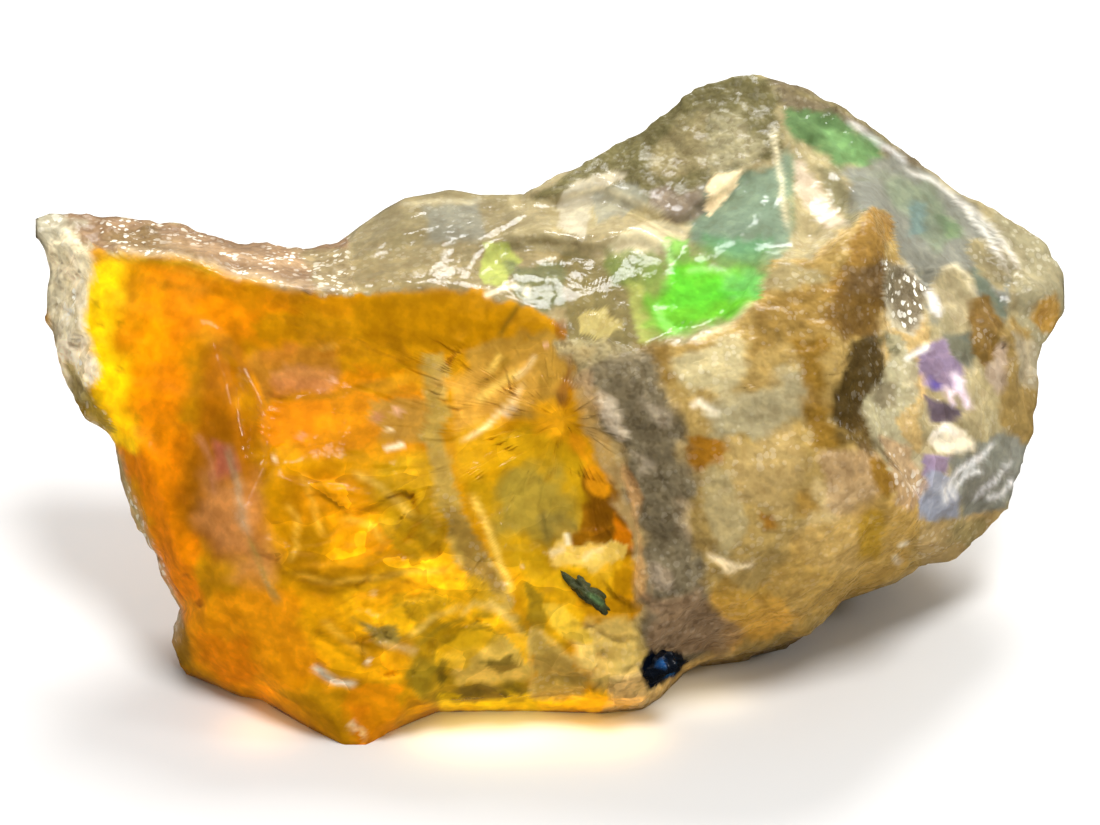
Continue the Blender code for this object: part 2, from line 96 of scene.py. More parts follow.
FRONT = {
    "horn": [(-17.1, 17.65, -3.1), (-16.65, 17.7, -3.4)],
    "ledge_edge": [(-15.8, 16.75, -2.2), (-14.5, 16.55, -1.4), (-12.4, 16.5, -0.3), (-11.3, 16.15, 0.2),
        (-10.75, 15.8, 0.5), (-9.5, 15.6, 0.9), (-8.1, 15.35, 1.1), (-7.2, 15.1, 1.2), (-6.25, 15.15, 1.2),
        (-4.5, 15.35, 1.1), (-3.1, 15.35, 1.2), (-2.4, 15.25, 1.3), (-1.35, 15, 1.6), (-0.55, 14.6, 1.9),
        (0.1, 14.2, 2.1), (0.6, 13.55, 2.3)],
    "left_end_edge": [(-15.8, 16.75, -2.2), (-15.8, 15.15, -1.7), (-15.75, 13.6, -1.5),
        (-15.45, 12.6, -1.2), (-14.8, 11.5, -1.1), (-14.2, 10.75, -1)],
    "left_face": [(-13.35, 14.35, -0.3), (-13.15, 11.65, 0), (-12.85, 9, -0.1), (-12.55, 6.3, -0.9)],
    "lobe_crest": [(-12, 14.45, 0.3), (-11.1, 13.3, 0.9), (-10.5, 11.65, 1.6), (-10.2, 9.7, 1.9),
        (-10.3, 7.7, 1.9), (-11.1, 6.05, 1)],
    "lobe_foot": [(-11.1, 14.25, 0.3), (-10.3, 13.35, 0.3), (-9.8, 12.15, 0.4), (-9.4, 10.85, 0.5),
        (-9.2, 9.65, 0.9)],
    "recess_floor": [(-8.3, 13.65, 0.5), (-8, 12, 0.2), (-6.35, 12.35, 0.1), (-4.65, 12.65, 0.5)],
    "recess_foot": [(-9.1, 9.6, 1.6), (-8.1, 9.7, 1.4), (-6.8, 9.6, 1.5), (-5.1, 9.95, 1.8),
        (-4.05, 10.35, 2.1)],
    "ridge": [(-4.05, 13.15, 1.7), (-3.75, 11.35, 2.4), (-3.6, 10, 2.7), (-3.4, 8.4, 2.9),
        (-2.75, 6.65, 2.9), (-1.9, 5.5, 2.7), (-1.4, 4.45, 2.4), (-0.85, 3.05, 1.4)],
    "low_fold": [(-10.25, 6.35, 1.3), (-8.6, 5.8, 1.5), (-6.75, 5.6, 1.7), (-4.3, 6.4, 2.1)],
    "tip_spine": [(-6.5, 1.1, 0.3), (-6.8, 2.1, 0.8), (-7.45, 2.65, 1), (-7.95, 3, 1)],
    "tip_shoulder": [(-6.8, 2.1, 0.8), (-6.05, 2.2, 1), (-4.95, 1.6, 0.2)],
    "low_left": [(-11.55, 4.3, -1), (-10.95, 3.1, -1.7), (-9.8, 3.7, 0.2), (-8.85, 2.3, -0.4)],
    "low_mid": [(-4.95, 3.75, 1.6), (-3.65, 2.75, 1.3), (-3.3, 4.75, 2)],
    "yellow_hollow": [(-2, 11.65, 2), (-0.65, 10, 1.8), (-1, 7.7, 1.7), (0.35, 5.05, 1.7), (0.35, 3.05, 1)],
    "brow": [(0.35, 12, 2.5), (1.3, 9.85, 2.3), (1.65, 7.4, 2), (2.35, 4.75, 1.9), (2.4, 2.7, 0.9)],
    "vein_left": [(1.15, 12.6, 2.7), (1.85, 10.7, 3), (2.55, 9.05, 3.2), (3, 7.25, 3.1), (3.1, 5.4, 2.6),
        (3, 3.55, 1.3)],
    "vein_right": [(3.3, 13.25, 2.2), (4.2, 11.35, 3), (4.6, 9.35, 3.3), (4.6, 7.4, 3.1), (4.9, 5.4, 1.9),
        (5.45, 3.8, -1.2)],
    "matrix_face": [(6.25, 11.65, 2.9), (7.05, 9.35, 3.2), (7.25, 7.05, 2.3), (7.15, 5, 0)],
    "matrix_side": [(9.3, 6.35, 0.7), (8.45, 4.25, -2.2), (10.6, 6.8, -0.4), (11.95, 7.15, -1.6)],
    "scarp_top": [(10.65, 17.95, -1), (10, 17.05, -0.2), (8.7, 16.2, 0.3), (7.4, 16.1, 0.4),
        (6.95, 14.9, 1.2), (6, 13.95, 1.8), (4.6, 13.4, 2.1)],
    "scarp_under": [(10.5, 18.3, -1.9), (9.75, 17.45, -1.1), (8.6, 16.6, -0.5), (7.15, 16.55, -0.4),
        (6.6, 15.1, 0.4), (5.7, 14.3, 1), (4.5, 13.8, 1.5)],
    "scarp_crest": [(10.4, 16.25, 0.3), (9.25, 14, 1.6), (9.35, 12, 2.4), (9.6, 10.35, 2.7),
        (10.55, 9.1, 2.2), (11.3, 8.35, 1.4)],
    "step_foot": [(11.65, 16.3, -1.4), (11.15, 14.7, -0.6), (10.95, 13, 0.1), (10.55, 11.35, 0.8),
        (10.95, 10.1, 0.9), (11.75, 9, 0.4), (12.1, 7.65, -0.8)],
    "peak_ridge": [(7.5, 21.95, -4.6), (7.65, 20.15, -3.1), (7.9, 18.4, -1.9), (8, 17.1, -1.1)],
    "peak_gully": [(8.5, 19.55, -3.7), (8.65, 18.25, -2.8), (8.85, 17.15, -2)],
    "peak_foot": [(0.2, 18.55, -2.7), (1.7, 19, -2.8), (3.05, 18.3, -2), (4.25, 17.7, -1.5),
        (5.35, 18.6, -2.2), (6.45, 19.45, -2.8)],
    "peak_under": [(0.25, 18.25, -3.1), (1.75, 18.65, -3.2), (3.05, 17.95, -2.5), (4.3, 17.4, -2),
        (5.5, 18.3, -2.7), (6.6, 19, -3.1)],
    "clear_step": [(-1.7, 17.1, -1), (-0.05, 17.3, -0.8), (1.35, 16.9, -0.5), (3, 17.4, -0.8),
        (3.95, 16.8, -0.3)],
    "clear_under": [(-1.55, 16.7, -1.2), (-0.05, 16.75, -1.1), (1.4, 16.5, -0.8), (3, 16.95, -1),
        (4.1, 16.4, -0.5)],
    "clear_low": [(-1, 16, 0.3), (1.65, 15.3, 1), (2.95, 13.95, 1.7)],
    "fire_face": [(5, 16.25, -0.1), (6.2, 17.05, -0.8)],
    "green_face": [(9.7, 19.5, -4), (10, 17.95, -2.7), (8.9, 17.35, -1.8)],
    "dome_crest": [(11.3, 19.4, -5.2), (13.05, 18.4, -5.6), (14.35, 17, -5.6), (15.25, 15.45, -5.3),
        (15.85, 13.75, -5.2)],
    "dome_side": [(12.05, 17.45, -3.6), (13.25, 16.1, -3.6), (14.1, 14.05, -3.4), (14.75, 11.65, -3.3),
        (14.75, 9.8, -3.2)],
    "purple_face": [(12.35, 13.5, -1.3), (13.5, 13, -2), (13.55, 11.5, -1.7), (12.3, 11.75, -0.6)],
    "pink_face": [(12.7, 10.35, -0.7), (14, 10, -1.9), (12.55, 9.15, -0.5)],
    "low_right": [(13.65, 8.3, -2.3), (14.95, 8.95, -3.7), (12.9, 6.75, -3)],
    "far_lump": [(16.15, 16.45, -6.5), (16.9, 15.45, -6), (16.25, 14.25, -5.9)],
    "hump": [(-5.05, 17.2, -1.4), (-3.35, 17.55, -1.9), (-7.05, 16.1, -0.8), (-4, 16.25, 0)],
    "ledge_mid": [(-13.55, 17.15, -2.7), (-11.25, 16.65, -1.4), (-9.05, 16.15, -0.6)],
}
BACK = {
    "shoulder": [(-15.55, 15.45, -4.8), (-13.1, 15.7, -5.9), (-10.35, 15.65, -6.4), (-7.6, 15.55, -6.3),
        (-5.15, 16.45, -6.2), (-3.1, 17.2, -6.5), (-0.7, 17.4, -7.2), (1.75, 18.3, -8), (4, 19.9, -8.4),
        (6.2, 21.1, -8.2), (8.2, 20.8, -8.8), (10.35, 19.75, -9.4), (12.3, 18.55, -9.9), (14.05, 17.3, -10),
        (15.8, 16.05, -9.4)],
    "spine": [(6.2, 21.1, -8.2), (5.7, 18.75, -10.3), (5, 15.6, -12), (3.55, 12.4, -12.6),
        (3.2, 9.2, -12.9)],
    "left_wing": [(-15.55, 15.45, -4.8), (-15.05, 12.2, -4.5), (-13.7, 8.95, -4.8), (-12.05, 6.2, -5.7),
        (-11.35, 3.8, -5.4)],
    "left_back": [(-13.1, 15.7, -5.9), (-12.45, 12.7, -6.6), (-10.65, 9.6, -8.3), (-9.1, 6.95, -9.5)],
    "scar_rim": [(-7.6, 15.55, -6.3), (-7.35, 13.1, -8.4), (-5.8, 10.3, -10.2), (-4.25, 7.6, -11.3)],
    "scar_floor": [(-3.1, 17.2, -6.5), (-2.8, 14.45, -8), (-1.75, 11, -10.2)],
    "mid_back": [(1.75, 18.3, -8), (1.25, 15.2, -10.2), (0.7, 11.7, -12), (0.35, 8.5, -12.4)],
    "right_back": [(10.35, 19.75, -9.4), (10.65, 16.3, -12), (10.35, 12.75, -13), (9.65, 9.55, -13.4)],
    "right_edge": [(14.05, 17.3, -10), (14.3, 14.5, -10.8), (13.8, 11, -11.2), (13.15, 8, -9.6)],
    "right_end": [(15.8, 16.05, -9.4), (16.2, 13.45, -8.4), (15.8, 10.65, -7.8), (15.1, 8.2, -7.3)],
    "base_back": [(-10, 4.5, -7.85), (-7.7, 5.4, -9.3), (-4.2, 5.85, -10.1), (-1.05, 6.2, -10.7),
        (3.9, 6.7, -11.65), (8.55, 7.05, -12.25), (10.6, 6.2, -10.8), (12.05, 5.9, -8.8)],
}
corner_counts = [sum(len(line) for line in lines.values()) for lines in (FRONT, BACK)]
print("corners:", len(RIM), "on the rim,", corner_counts[0], "in front,", corner_counts[1], "behind")

# %% [markdown]
# ## From corners to a height map
# Each shell of the stone is a height over the broken face: for every place (across, up) there is one value
# of out. The corners are joined to facets, and each facet is a plane, out = a * across + b * up + c.
# Writing the planes into a raster once makes it cheap to look the height up later, and to round the creases
# by averaging near neighbours.

# %% Join the corners to facets
def facets_of(forms):
    """The rim and every form's line of corners, joined to flat triangles: (facet, corner, coordinate)."""
    corners, lines = [tuple(p) for p in RIM], []
    for line in forms.values():
        for corner in line:
            if corner not in corners:
                corners.append(corner)
        lines += [(corners.index(a), corners.index(b)) for a, b in zip(line, line[1:])]
    flat = [(across, up) for across, up, _ in corners]
    made = delaunay_2d_cdt(flat, lines, [list(range(len(RIM)))], 1, 1e-6)
    if len(made[0]) != len(corners):
        raise ValueError("two lines of corners cross")
    origin = [source[0] for source in made[3]]
    return np.array([[corners[origin[i]] for i in face] for face in made[2]])


front_facets, back_facets = facets_of(FRONT), facets_of(BACK)
print("facets:", len(front_facets), "in front,", len(back_facets), "behind")

# %% Raster of heights
CELL = 0.05  # mm, one cell of the raster
FILL_RINGS = 14  # how many rings of cells outside the facets are filled
MAP_LOW, MAP_HIGH = np.array([-18.6, -1.0]), np.array([18.9, 23.9])


def height_map(facets):
    """A raster of out over (across, up): inside each facet out is the plane through its three corners.
    Cells outside every facet take the mean of their filled neighbours, ring after ring."""
    columns, rows = np.ceil((MAP_HIGH - MAP_LOW) / CELL).astype(int)
    heights = np.full((rows, columns), np.nan)
    for a, b, c in facets:
        low = np.floor((np.min([a, b, c], axis=0)[:2] - MAP_LOW) / CELL).astype(int)
        high = np.ceil((np.max([a, b, c], axis=0)[:2] - MAP_LOW) / CELL).astype(int) + 1
        x = MAP_LOW[0] + CELL * np.arange(low[0], high[0])
        y = MAP_LOW[1] + CELL * np.arange(low[1], high[1])[:, None]
        size = (b[0] - a[0]) * (c[1] - a[1]) - (c[0] - a[0]) * (b[1] - a[1])
        share_b = ((x - a[0]) * (c[1] - a[1]) - (c[0] - a[0]) * (y - a[1])) / size
        share_c = ((b[0] - a[0]) * (y - a[1]) - (x - a[0]) * (b[1] - a[1])) / size
        within = (share_b > -1e-4) & (share_c > -1e-4) & (share_b + share_c < 1 + 1e-4)
        plane = a[2] + share_b * (b[2] - a[2]) + share_c * (c[2] - a[2])
        part = heights[low[1]:high[1], low[0]:high[0]]
        part[within] = plane[within]
    for _ in range(FILL_RINGS):
        ring = np.stack([np.roll(heights, step, (0, 1)) for step in ((1, 0), (-1, 0), (0, 1), (0, -1))])
        known = ~np.isnan(ring)
        mean = np.where(known, ring, 0).sum(0) / np.maximum(known.sum(0), 1)
        heights = np.where(np.isnan(heights) & known.any(0), mean, heights)
    return np.nan_to_num(heights, nan=-5.0)


def look_up(heights, across, up):
    """Height at any place: the four nearest cells, blended by how near each one is."""
    x, y = (across - MAP_LOW[0]) / CELL, (up - MAP_LOW[1]) / CELL
    i, j = np.floor(x).astype(int), np.floor(y).astype(int)
    x, y = x - i, y - j
    low = heights[j, i] * (1 - x) + heights[j, i + 1] * x
    high = heights[j + 1, i] * (1 - x) + heights[j + 1, i + 1] * x
    return low * (1 - y) + high * y


front_map, back_map = height_map(front_facets), height_map(back_facets)
print("raster:", front_map.shape, "cells")

# %% [markdown]
# ## The grid
# The surface is a function of two parameters, like a polar grid. The first runs once round the rim. The
# second runs from the rim, where the scale is 1, to a pole inside the face, where it is 0. So the outline
# is exact, and no seam is open: both shells end in the same rim, and each closes in a pole.

# %% Lay a polar grid on both shells
ROUND = 720  # points round the rim
FRONT_RINGS, BACK_RINGS = 96, 38
POLE = np.array([0.4, 11.0])


def smooth_steps(x):
    """0 below 0 and 1 above 1, with 3 x^2 - 2 x^3 in between."""
    x = np.clip(x, 0.0, 1.0)
    return x * x * (3 - 2 * x)


def noise(points, size, seed):
    """Smooth noise from -1 to 1: random numbers on a lattice of cells of that size, blended in between."""
    table = np.random.default_rng(seed).uniform(-1, 1, (32,) * points.shape[-1])
    place = points / size
    cell = np.floor(place).astype(int)
    share = smooth_steps(place - cell)
    total = np.zeros(points.shape[:-1])
    for corner in np.ndindex((2,) * points.shape[-1]):
        weight = np.prod(np.where(corner, share, 1 - share), axis=-1)
        total += weight * table[tuple(np.moveaxis((cell + corner) % 32, -1, 0))]
    return total


def fractal(points, size, seed, octaves=4, fall=0.5):
    """Noise on noise: each octave has half the cell size of the one before and 'fall' times its height."""
    return sum(fall**k * noise(points + 7.3 * k, size / 2**k, seed + k) for k in range(octaves))


def outline_distance(across, up, outline):
    """Distance to a closed outline on the broken face, positive inside it."""
    nearest, inside = np.full(across.shape, np.inf), np.zeros(across.shape, bool)
    for (ax, ay), (bx, by) in zip(outline, list(outline[1:]) + [outline[0]]):
        dx, dy = bx - ax, by - ay
        share = np.clip(((across - ax) * dx + (up - ay) * dy) / (dx * dx + dy * dy), 0, 1)
        nearest = np.minimum(nearest, np.hypot(across - ax - share * dx, up - ay - share * dy))
        inside ^= ((ay > up) != (by > up)) & (across < ax + (up - ay) * dx / (dy if dy else 1.0))
    return np.where(inside, nearest, -nearest)


def polar_shell(heights, rings):
    """place(s, t) = pole + s * (rim(t) - pole), with s falling from 1 at the rim. Out is the mean of the
    height map over a small disc, which rounds the creases. The disc shrinks to nothing at the rim."""
    rim = np.array(RIM + [RIM[0]])
    run = np.concatenate([[0], np.cumsum(np.linalg.norm(np.diff(rim, axis=0), axis=1))])
    t = np.linspace(0, run[-1], ROUND, endpoint=False)
    rim = np.stack([np.interp(t, run, rim[:, k]) for k in range(3)], axis=1)
    s = (1 - np.arange(rings) / rings) ** 0.8
    place = POLE + s[:, None, None] * (rim[:, :2] - POLE)
    inside = outline_distance(place[..., 0], place[..., 1], [p[:2] for p in RIM])
    reach = np.clip(inside - 0.06, 0, CREASE)
    out = np.zeros(place.shape[:2])
    angles = np.arange(10) * math.tau / 10
    for angle, share in zip(angles, [1.0, 0.45] * 5):
        across = place[..., 0] + share * reach * math.cos(angle)
        up = place[..., 1] + share * reach * math.sin(angle)
        out += look_up(heights, across, up)
    out = 0.8 * out / 10 + 0.2 * look_up(heights, place[..., 0], place[..., 1])
    out[0] = rim[:, 2]
    return np.concatenate([place, out[..., None]], axis=2)


CREASE = 0.28  # mm; how far the creases are rounded
front, back = polar_shell(front_map, FRONT_RINGS), polar_shell(back_map, BACK_RINGS)
print("grid:", front.shape[:2], "in front and", back.shape[:2], "behind")

# %% [markdown]
# ## Relief
# A fresh break in opal is smooth and shell-shaped, like broken glass, with faint ripples round the place
# where it started. The host rock is lumpy and granular. So the height added along the normal is a sum:
# lumps and crumbs where the host rock lies, and elsewhere broad waves, ripples round the breaks and flat
# splinters where the opal is shattered. The hollows that chips left are pressed in first.

# %% A round belly low in front
BELLY = [
    (-15.65, 10.3), (-13.35, 10.65), (-11.15, 5.0), (-8.35, 2.45), (-6.8, 3.2), (-4.9, 2.5), (-1.0, 2.35),
    (2.3, 2.7), (3.3, 3.7), (4.8, 0.7), (-6.7, -1.7), (-14.4, 0.7), (-16.1, 6.2),
]
BELLY_WIDTH, BELLY_HEIGHT = 1.9, 0.62


def ragged(across, up, outline, soft=0.25, wander=0.3, size=0.9, seed=11):
    """1 inside an outline and 0 outside it, with a soft edge that wanders to and fro by noise."""
    place = np.stack([across, up], axis=-1)
    edge = outline_distance(across, up, outline) + wander * fractal(place, size, seed, octaves=3, fall=0.62)
    return smooth_steps(edge / soft + 0.5)


def bellied(shell):
    """out + height * sin(pi * d / width), where d is the distance in from the rim: the glassy edge turns
    over in a round shoulder, and isn't one steep facet."""
    d = np.clip(outline_distance(shell[..., 0], shell[..., 1], rim_outline) / BELLY_WIDTH, 0, 1)
    share = ragged(shell[..., 0], shell[..., 1], BELLY, soft=1.2, wander=0.1)
    return shell + (BELLY_HEIGHT * np.sin(math.pi * d) * share)[..., None] * np.array([0, 0, 1])


rim_outline = [p[:2] for p in RIM]
front = bellied(front)
print("belly:", BELLY_HEIGHT, "mm high")

# %% Hollows left by chips
BLUNT = 0.35  # mm, how blunt the edge round a chip is
CHIPS = {
    "recess": ((-5.9, 13.2, 9.4), 8.6),
    "low_front": ((-4.6, 3.2, 13.0), 11.2),
    "yellow_hollow": ((0.5, 8.2, 13.6), 11.6),
    "back_left": ((-10.5, 11.5, -18.0), 11.6),
    "back_middle": ((-1.5, 11.5, -20.5), 11.3),
    "back_right": ((7.5, 11.5, -25.5), 13.9),
    "back_top": ((5.0, 21.5, -19.0), 11.6),
}


def hollowed(points):
    """What lies inside a chip's ball is pressed out to the ball:
    new radius = (r + R + root((r - R)^2 + blunt^2)) / 2."""
    for centre, radius in CHIPS.values():
        away = points - np.array(centre)
        far = np.linalg.norm(away, axis=-1, keepdims=True)
        pressed = (far + radius + np.sqrt((far - radius) ** 2 + BLUNT**2)) / 2
        points = np.array(centre) + away * np.where(far < radius + 4 * BLUNT, pressed / far, 1.0)
    return points


def grid_normals(shell, side):
    """The cross product of the two grid directions, turned to the front (side 1) or the back (side -1)."""
    along = np.roll(shell, -1, axis=1) - np.roll(shell, 1, axis=1)
    inward = np.gradient(shell, axis=0)
    normal = np.cross(along, inward)
    normal /= np.maximum(np.linalg.norm(normal, axis=-1, keepdims=True), 1e-12)
    return normal * side * np.sign(np.median(normal[..., 2]))


front, back = hollowed(front), hollowed(back)
front_normals, back_normals = grid_normals(front, 1), grid_normals(back, -1)
print("chips pressed:", ", ".join(CHIPS))

# %% Where the host rock lies
ROCK_EDGE = [
    (0.7, 13.0), (2.3, 10.4), (3.1, 7.2), (3.1, 3.4), (2.6, 1.0), (9.0, 1.0), (12.3, 5.0), (12.2, 8.6),
    (10.9, 10.2), (10.9, 12.6), (11.4, 16.0), (10.7, 18.0), (9.3, 16.6), (7.2, 16.4), (5.6, 14.2),
    (3.4, 13.4),
]


across, up = front[..., 0], front[..., 1]
rock = ragged(across, up, ROCK_EDGE, soft=0.6, wander=0.15)
print("host rock covers", round(100 * float(rock.mean())), "% of the front's grid")

# %% Height of the relief
def line_distance(across, up, line):
    """Distance to an open line of points, and how far along the line the nearest place is, from 0 to 1."""
    steps = [math.hypot(b[0] - a[0], b[1] - a[1]) for a, b in zip(line, line[1:])]
    nearest, along, run = np.full(across.shape, np.inf), np.zeros(across.shape), 0.0
    for (a, b), step in zip(zip(line, line[1:]), steps):
        dx, dy = b[0] - a[0], b[1] - a[1]
        share = np.clip(((across - a[0]) * dx + (up - a[1]) * dy) / step**2, 0, 1)
        far = np.hypot(across - a[0] - share * dx, up - a[1] - share * dy)
        along = np.where(far < nearest, (run + share * step) / sum(steps), along)
        nearest = np.minimum(nearest, far)
        run += step
    return nearest, along


def crest(across, up, line, width, height):
    """A ridge along a line: height * exp(-(distance / width)^2), fading at both ends."""
    far, along = line_distance(across, up, line)
    return height * np.exp(-((far / width) ** 2)) * smooth_steps(6 * along) * smooth_steps(6 * (1 - along))


def ripples(across, up, start, wave, height, reach):
    """Rings round the start of a break: height * sin(tau * r / wave), with a wandering r. They rise from
    nothing at the start to their full height at a third of the reach, and die out at the reach."""
    r = np.hypot(across - start[0], up - start[1])
    wander = 0.35 * fractal(np.stack([across, up], axis=-1), 2.5, 31, octaves=2)
    strength = smooth_steps(3 * r / reach - 0.4) * np.clip(1.5 * (1 - r / reach), 0, 1)
    return height * np.sin(math.tau * (r + wander) / wave) * strength


RIPPLES = {
    "recess": ((-3.2, 15.4), 0.75, 0.012, 7.0),
    "left_face": ((-15.6, 16.4), 1.3, 0.010, 8.0),
    "low_front": ((-1.0, 1.4), 1.0, 0.014, 7.5),
    "clear_top": ((8.0, 21.0), 1.1, 0.012, 8.0),
    "right_end": ((12.2, 13.6), 0.8, 0.022, 5.0),
}


# Where the opal is shattered, and how much.
SHATTERED = {
    "low_amber": (1, [(-8.9, 9.35), (-4.3, 9.85), (-2.6, 6.4), (-0.35, 6.4), (2.95, 5.1), (3, 1.6),
        (-7.3, 1.7), (-8.6, 5.05), (-9.25, 7.7)]),
    "recess": (0.25, [(-9.8, 13.65), (-3.95, 13.3), (-3.6, 10), (-9.3, 9.6)]),
    "yellow_field": (0.45, [(-3.95, 13.3), (0.65, 13.65), (2.95, 6.4), (0.35, 5.05), (-2.3, 6.4)]),
    "clear_top": (0.15, [(-2.4, 18.85), (2.4, 19.85), (8.15, 20.15), (10.35, 17.35), (7, 16), (2.95, 13.45),
        (0.65, 13.95), (-2, 15.3)]),
    "right_end": (0.5, [(11.8, 16.4), (15.6, 17.55), (17.65, 14.45), (16.8, 8.95), (14.75, 6.2),
        (11.9, 6.25)]),
    "left_end": (0.9, [(-17.7, 18.15), (-16, 18), (-15.25, 12), (-16.6, 11.65)]),
}


def shattered(points):
    """From 0 where the break is smooth to 1 where it is all splinters."""
    share = np.zeros(points.shape[:-1])
    for strength, outline in SHATTERED.values():
        zone = ragged(points[..., 0], points[..., 1], outline, soft=1.0, wander=0.3)
        share = np.maximum(share, strength * zone * (points[..., 2] > -7))
    return share


def splinters(points, cell, seed):
    """Flat facets: space is cut into cells round scattered seeds, and the height in a cell is the way from
    its seed times a tilt of its own. Where two cells meet, their planes meet in a crisp crease."""
    table = np.random.default_rng(seed).uniform(0, 1, (32, 32, 32, 6))
    place = points / (cell * np.array([1.3, 0.8, 1.0]))
    home = np.floor(place).astype(int)
    nearest, height = np.full(points.shape[:-1], np.inf), np.zeros(points.shape[:-1])
    for step in np.ndindex(3, 3, 3):
        corner = home + np.array(step) - 1
        scatter = table[tuple(np.moveaxis(corner % 32, -1, 0))]
        away = place - corner - scatter[..., :3]
        far = (away**2).sum(-1)
        height = np.where(far < nearest, (away * (scatter[..., 3:] - 0.5)).sum(-1), height)
        nearest = np.minimum(nearest, far)
    return cell * height


def front_relief():
    """Host rock: lumps of three sizes. Opal: waves, ripples and splinters."""
    rocky = 0.20 * (0.8 + noise(front, 2.2, 1)) + 0.10 * noise(front, 0.9, 2)
    rocky = rocky + 0.07 * fractal(front, 0.42, 21, octaves=2)
    smooth = 0.05 * noise(front, 1.3, 3) + 0.012 * fractal(front, 0.5, 41)
    for start, wave, height, reach in RIPPLES.values():
        smooth = smooth + ripples(across, up, start, wave, height, reach)
    facets = splinters(front, 1.5, 5) + 0.8 * splinters(front, 0.7, 6)
    smooth = smooth + (0.04 + 0.26 * shattered(front)) * facets
    return rock * rocky + (1 - rock) * smooth


def back_relief():
    """Waves and fine grain."""
    return 0.05 * noise(back, 1.3, 3) + 0.05 * fractal(back, 0.8, 51, octaves=3)


def raised(shell, normals, height, outline):
    """The shell moved along its normals. The height fades out at the rim, which both shells share."""
    fade = smooth_steps(outline_distance(shell[..., 0], shell[..., 1], outline) / RIM_FADE)
    return shell + normals * (height * fade)[..., None]


RIM_FADE = 0.35  # mm
relief = front_relief()
front = raised(front, front_normals, relief, rim_outline)
back = raised(back, back_normals, back_relief(), rim_outline)
print("front relief from", round(float(relief.min()), 2), "to", round(float(relief.max()), 2), "mm")

# %% Ragged edges
RAGGED_ZONES = {
    "left_rim": [(-18.5, 19.2), (-16.6, 18.85), (-15.5, 16.75), (-15.65, 14.0), (-15.4, 11.95),
        (-14.4, 10.35), (-13.45, 8.3), (-12.4, 6.3), (-11.9, 4.6), (-12.45, 2.15), (-14.75, 2.1),
        (-18.15, 10.3)],
    "ledge": [(-16.8, 19.2), (-10.6, 18.55), (-6.85, 18.2), (-6.3, 15.65), (-10.0, 15.8), (-15.5, 16.75)],
    "peak": [(-1.7, 18.8), (0.35, 20.6), (6.9, 24.0), (14.2, 19.65), (12.05, 19.25), (7.1, 19.8),
        (5.05, 18.4), (1.7, 19.15), (-0.35, 18.1)],
    "right_lumps": [(14.2, 19.3), (18.85, 18.55), (18.85, 8.95), (14.05, 3.45), (9.95, 3.45), (11.9, 6.25),
        (15.05, 8.25), (15.35, 11.7), (14.3, 14.05), (15.1, 16.15)],
}


def shaken(points):
    """Every point pushed by three fields of noise, and by more where the edge is ragged. The push depends on
    the place alone, so the rim that both shells share stays closed."""
    across, up = points[..., 0], points[..., 1]
    zones = [ragged(across, up, outline, soft=0.8, wander=0.2) for outline in RAGGED_ZONES.values()]
    reach = 0.02 + 0.085 * np.max(zones, axis=0)
    push = np.stack([fractal(points, 0.8, seed, octaves=3, fall=0.6) for seed in (61, 71, 81)], axis=-1)
    return points + push * reach[..., None]


front, back = shaken(front), shaken(back)
print("ragged zones:", ", ".join(RAGGED_ZONES))

# %% [markdown]
# ## Into the mesh
# The two shells are joined at the rim and stood up: X is across, and up and out both lean by the face's 30
# degrees. The stone is then set on its base. What lies lower than 0.12 mm is worn flat, and the box is laid
# on the solid's box.

# %% Join the shells and set the stone on its base
def ring_faces(first, second, turned):
    """Quads between two rings of vertex numbers."""
    quads = np.stack([first, np.roll(first, -1), np.roll(second, -1), second], axis=1)
    return quads[:, ::-1] if turned else quads


def closed_stone(front, back):
    """Vertices and faces of both shells: rim, front rings, front pole, back rings, back pole."""
    points = [front.reshape(-1, 3), front[-1].mean(0)[None], back[1:].reshape(-1, 3), back[-1].mean(0)[None]]
    rim = np.arange(ROUND)
    front_rings = [rim + ROUND * k for k in range(FRONT_RINGS)]
    front_pole = ROUND * FRONT_RINGS
    back_rings = [rim] + [front_pole + 1 + rim + ROUND * k for k in range(BACK_RINGS - 1)]
    back_pole = front_pole + 1 + ROUND * (BACK_RINGS - 1)
    quads, fans = [], []
    for rings, pole, turned in ((front_rings, front_pole, True), (back_rings, back_pole, False)):
        quads += [ring_faces(a, b, turned) for a, b in zip(rings, rings[1:])]
        fan = np.stack([rings[-1], np.roll(rings[-1], -1), np.full(ROUND, pole)], axis=1)
        fans.append(fan[:, ::-1] if turned else fan)
    return np.concatenate(points), np.concatenate(quads), np.concatenate(fans)


def upright(points):
    """Face coordinates turned to the stone's own frame: X right, Y to the back, Z up."""
    a, u, o = points.T
    sin, cos = math.sin(FACE_LEAN), math.cos(FACE_LEAN)
    return np.stack([a, u * sin - o * cos, u * cos + o * sin], axis=1)


def box_of(points):
    """The lowest and highest corner of all the points."""
    return points.min(0), points.max(0)


WORN_FLAT = 0.12  # mm above the base
face_points, quads, fans = closed_stone(front, back)
corners = RIM + [corner for group in (FRONT, BACK) for line in group.values() for corner in line]
low, high = box_of(upright(np.array(corners, float)))
cad_box = np.array([cad_low, cad_high]) / MM
middle, cad_middle = (low + high) / 2, cad_box.mean(0)
middle[2] = cad_middle[2] = 0.0
standing = upright(face_points)
standing[standing[:, 2] < WORN_FLAT, 2] = 0.0
standing = np.clip(standing + cad_middle - middle, *cad_box)
shift = Vector((cad_middle - middle) * MM)
print("shifted by", [round(float(v), 3) for v in cad_middle - middle], "mm and kept inside the solid's box")


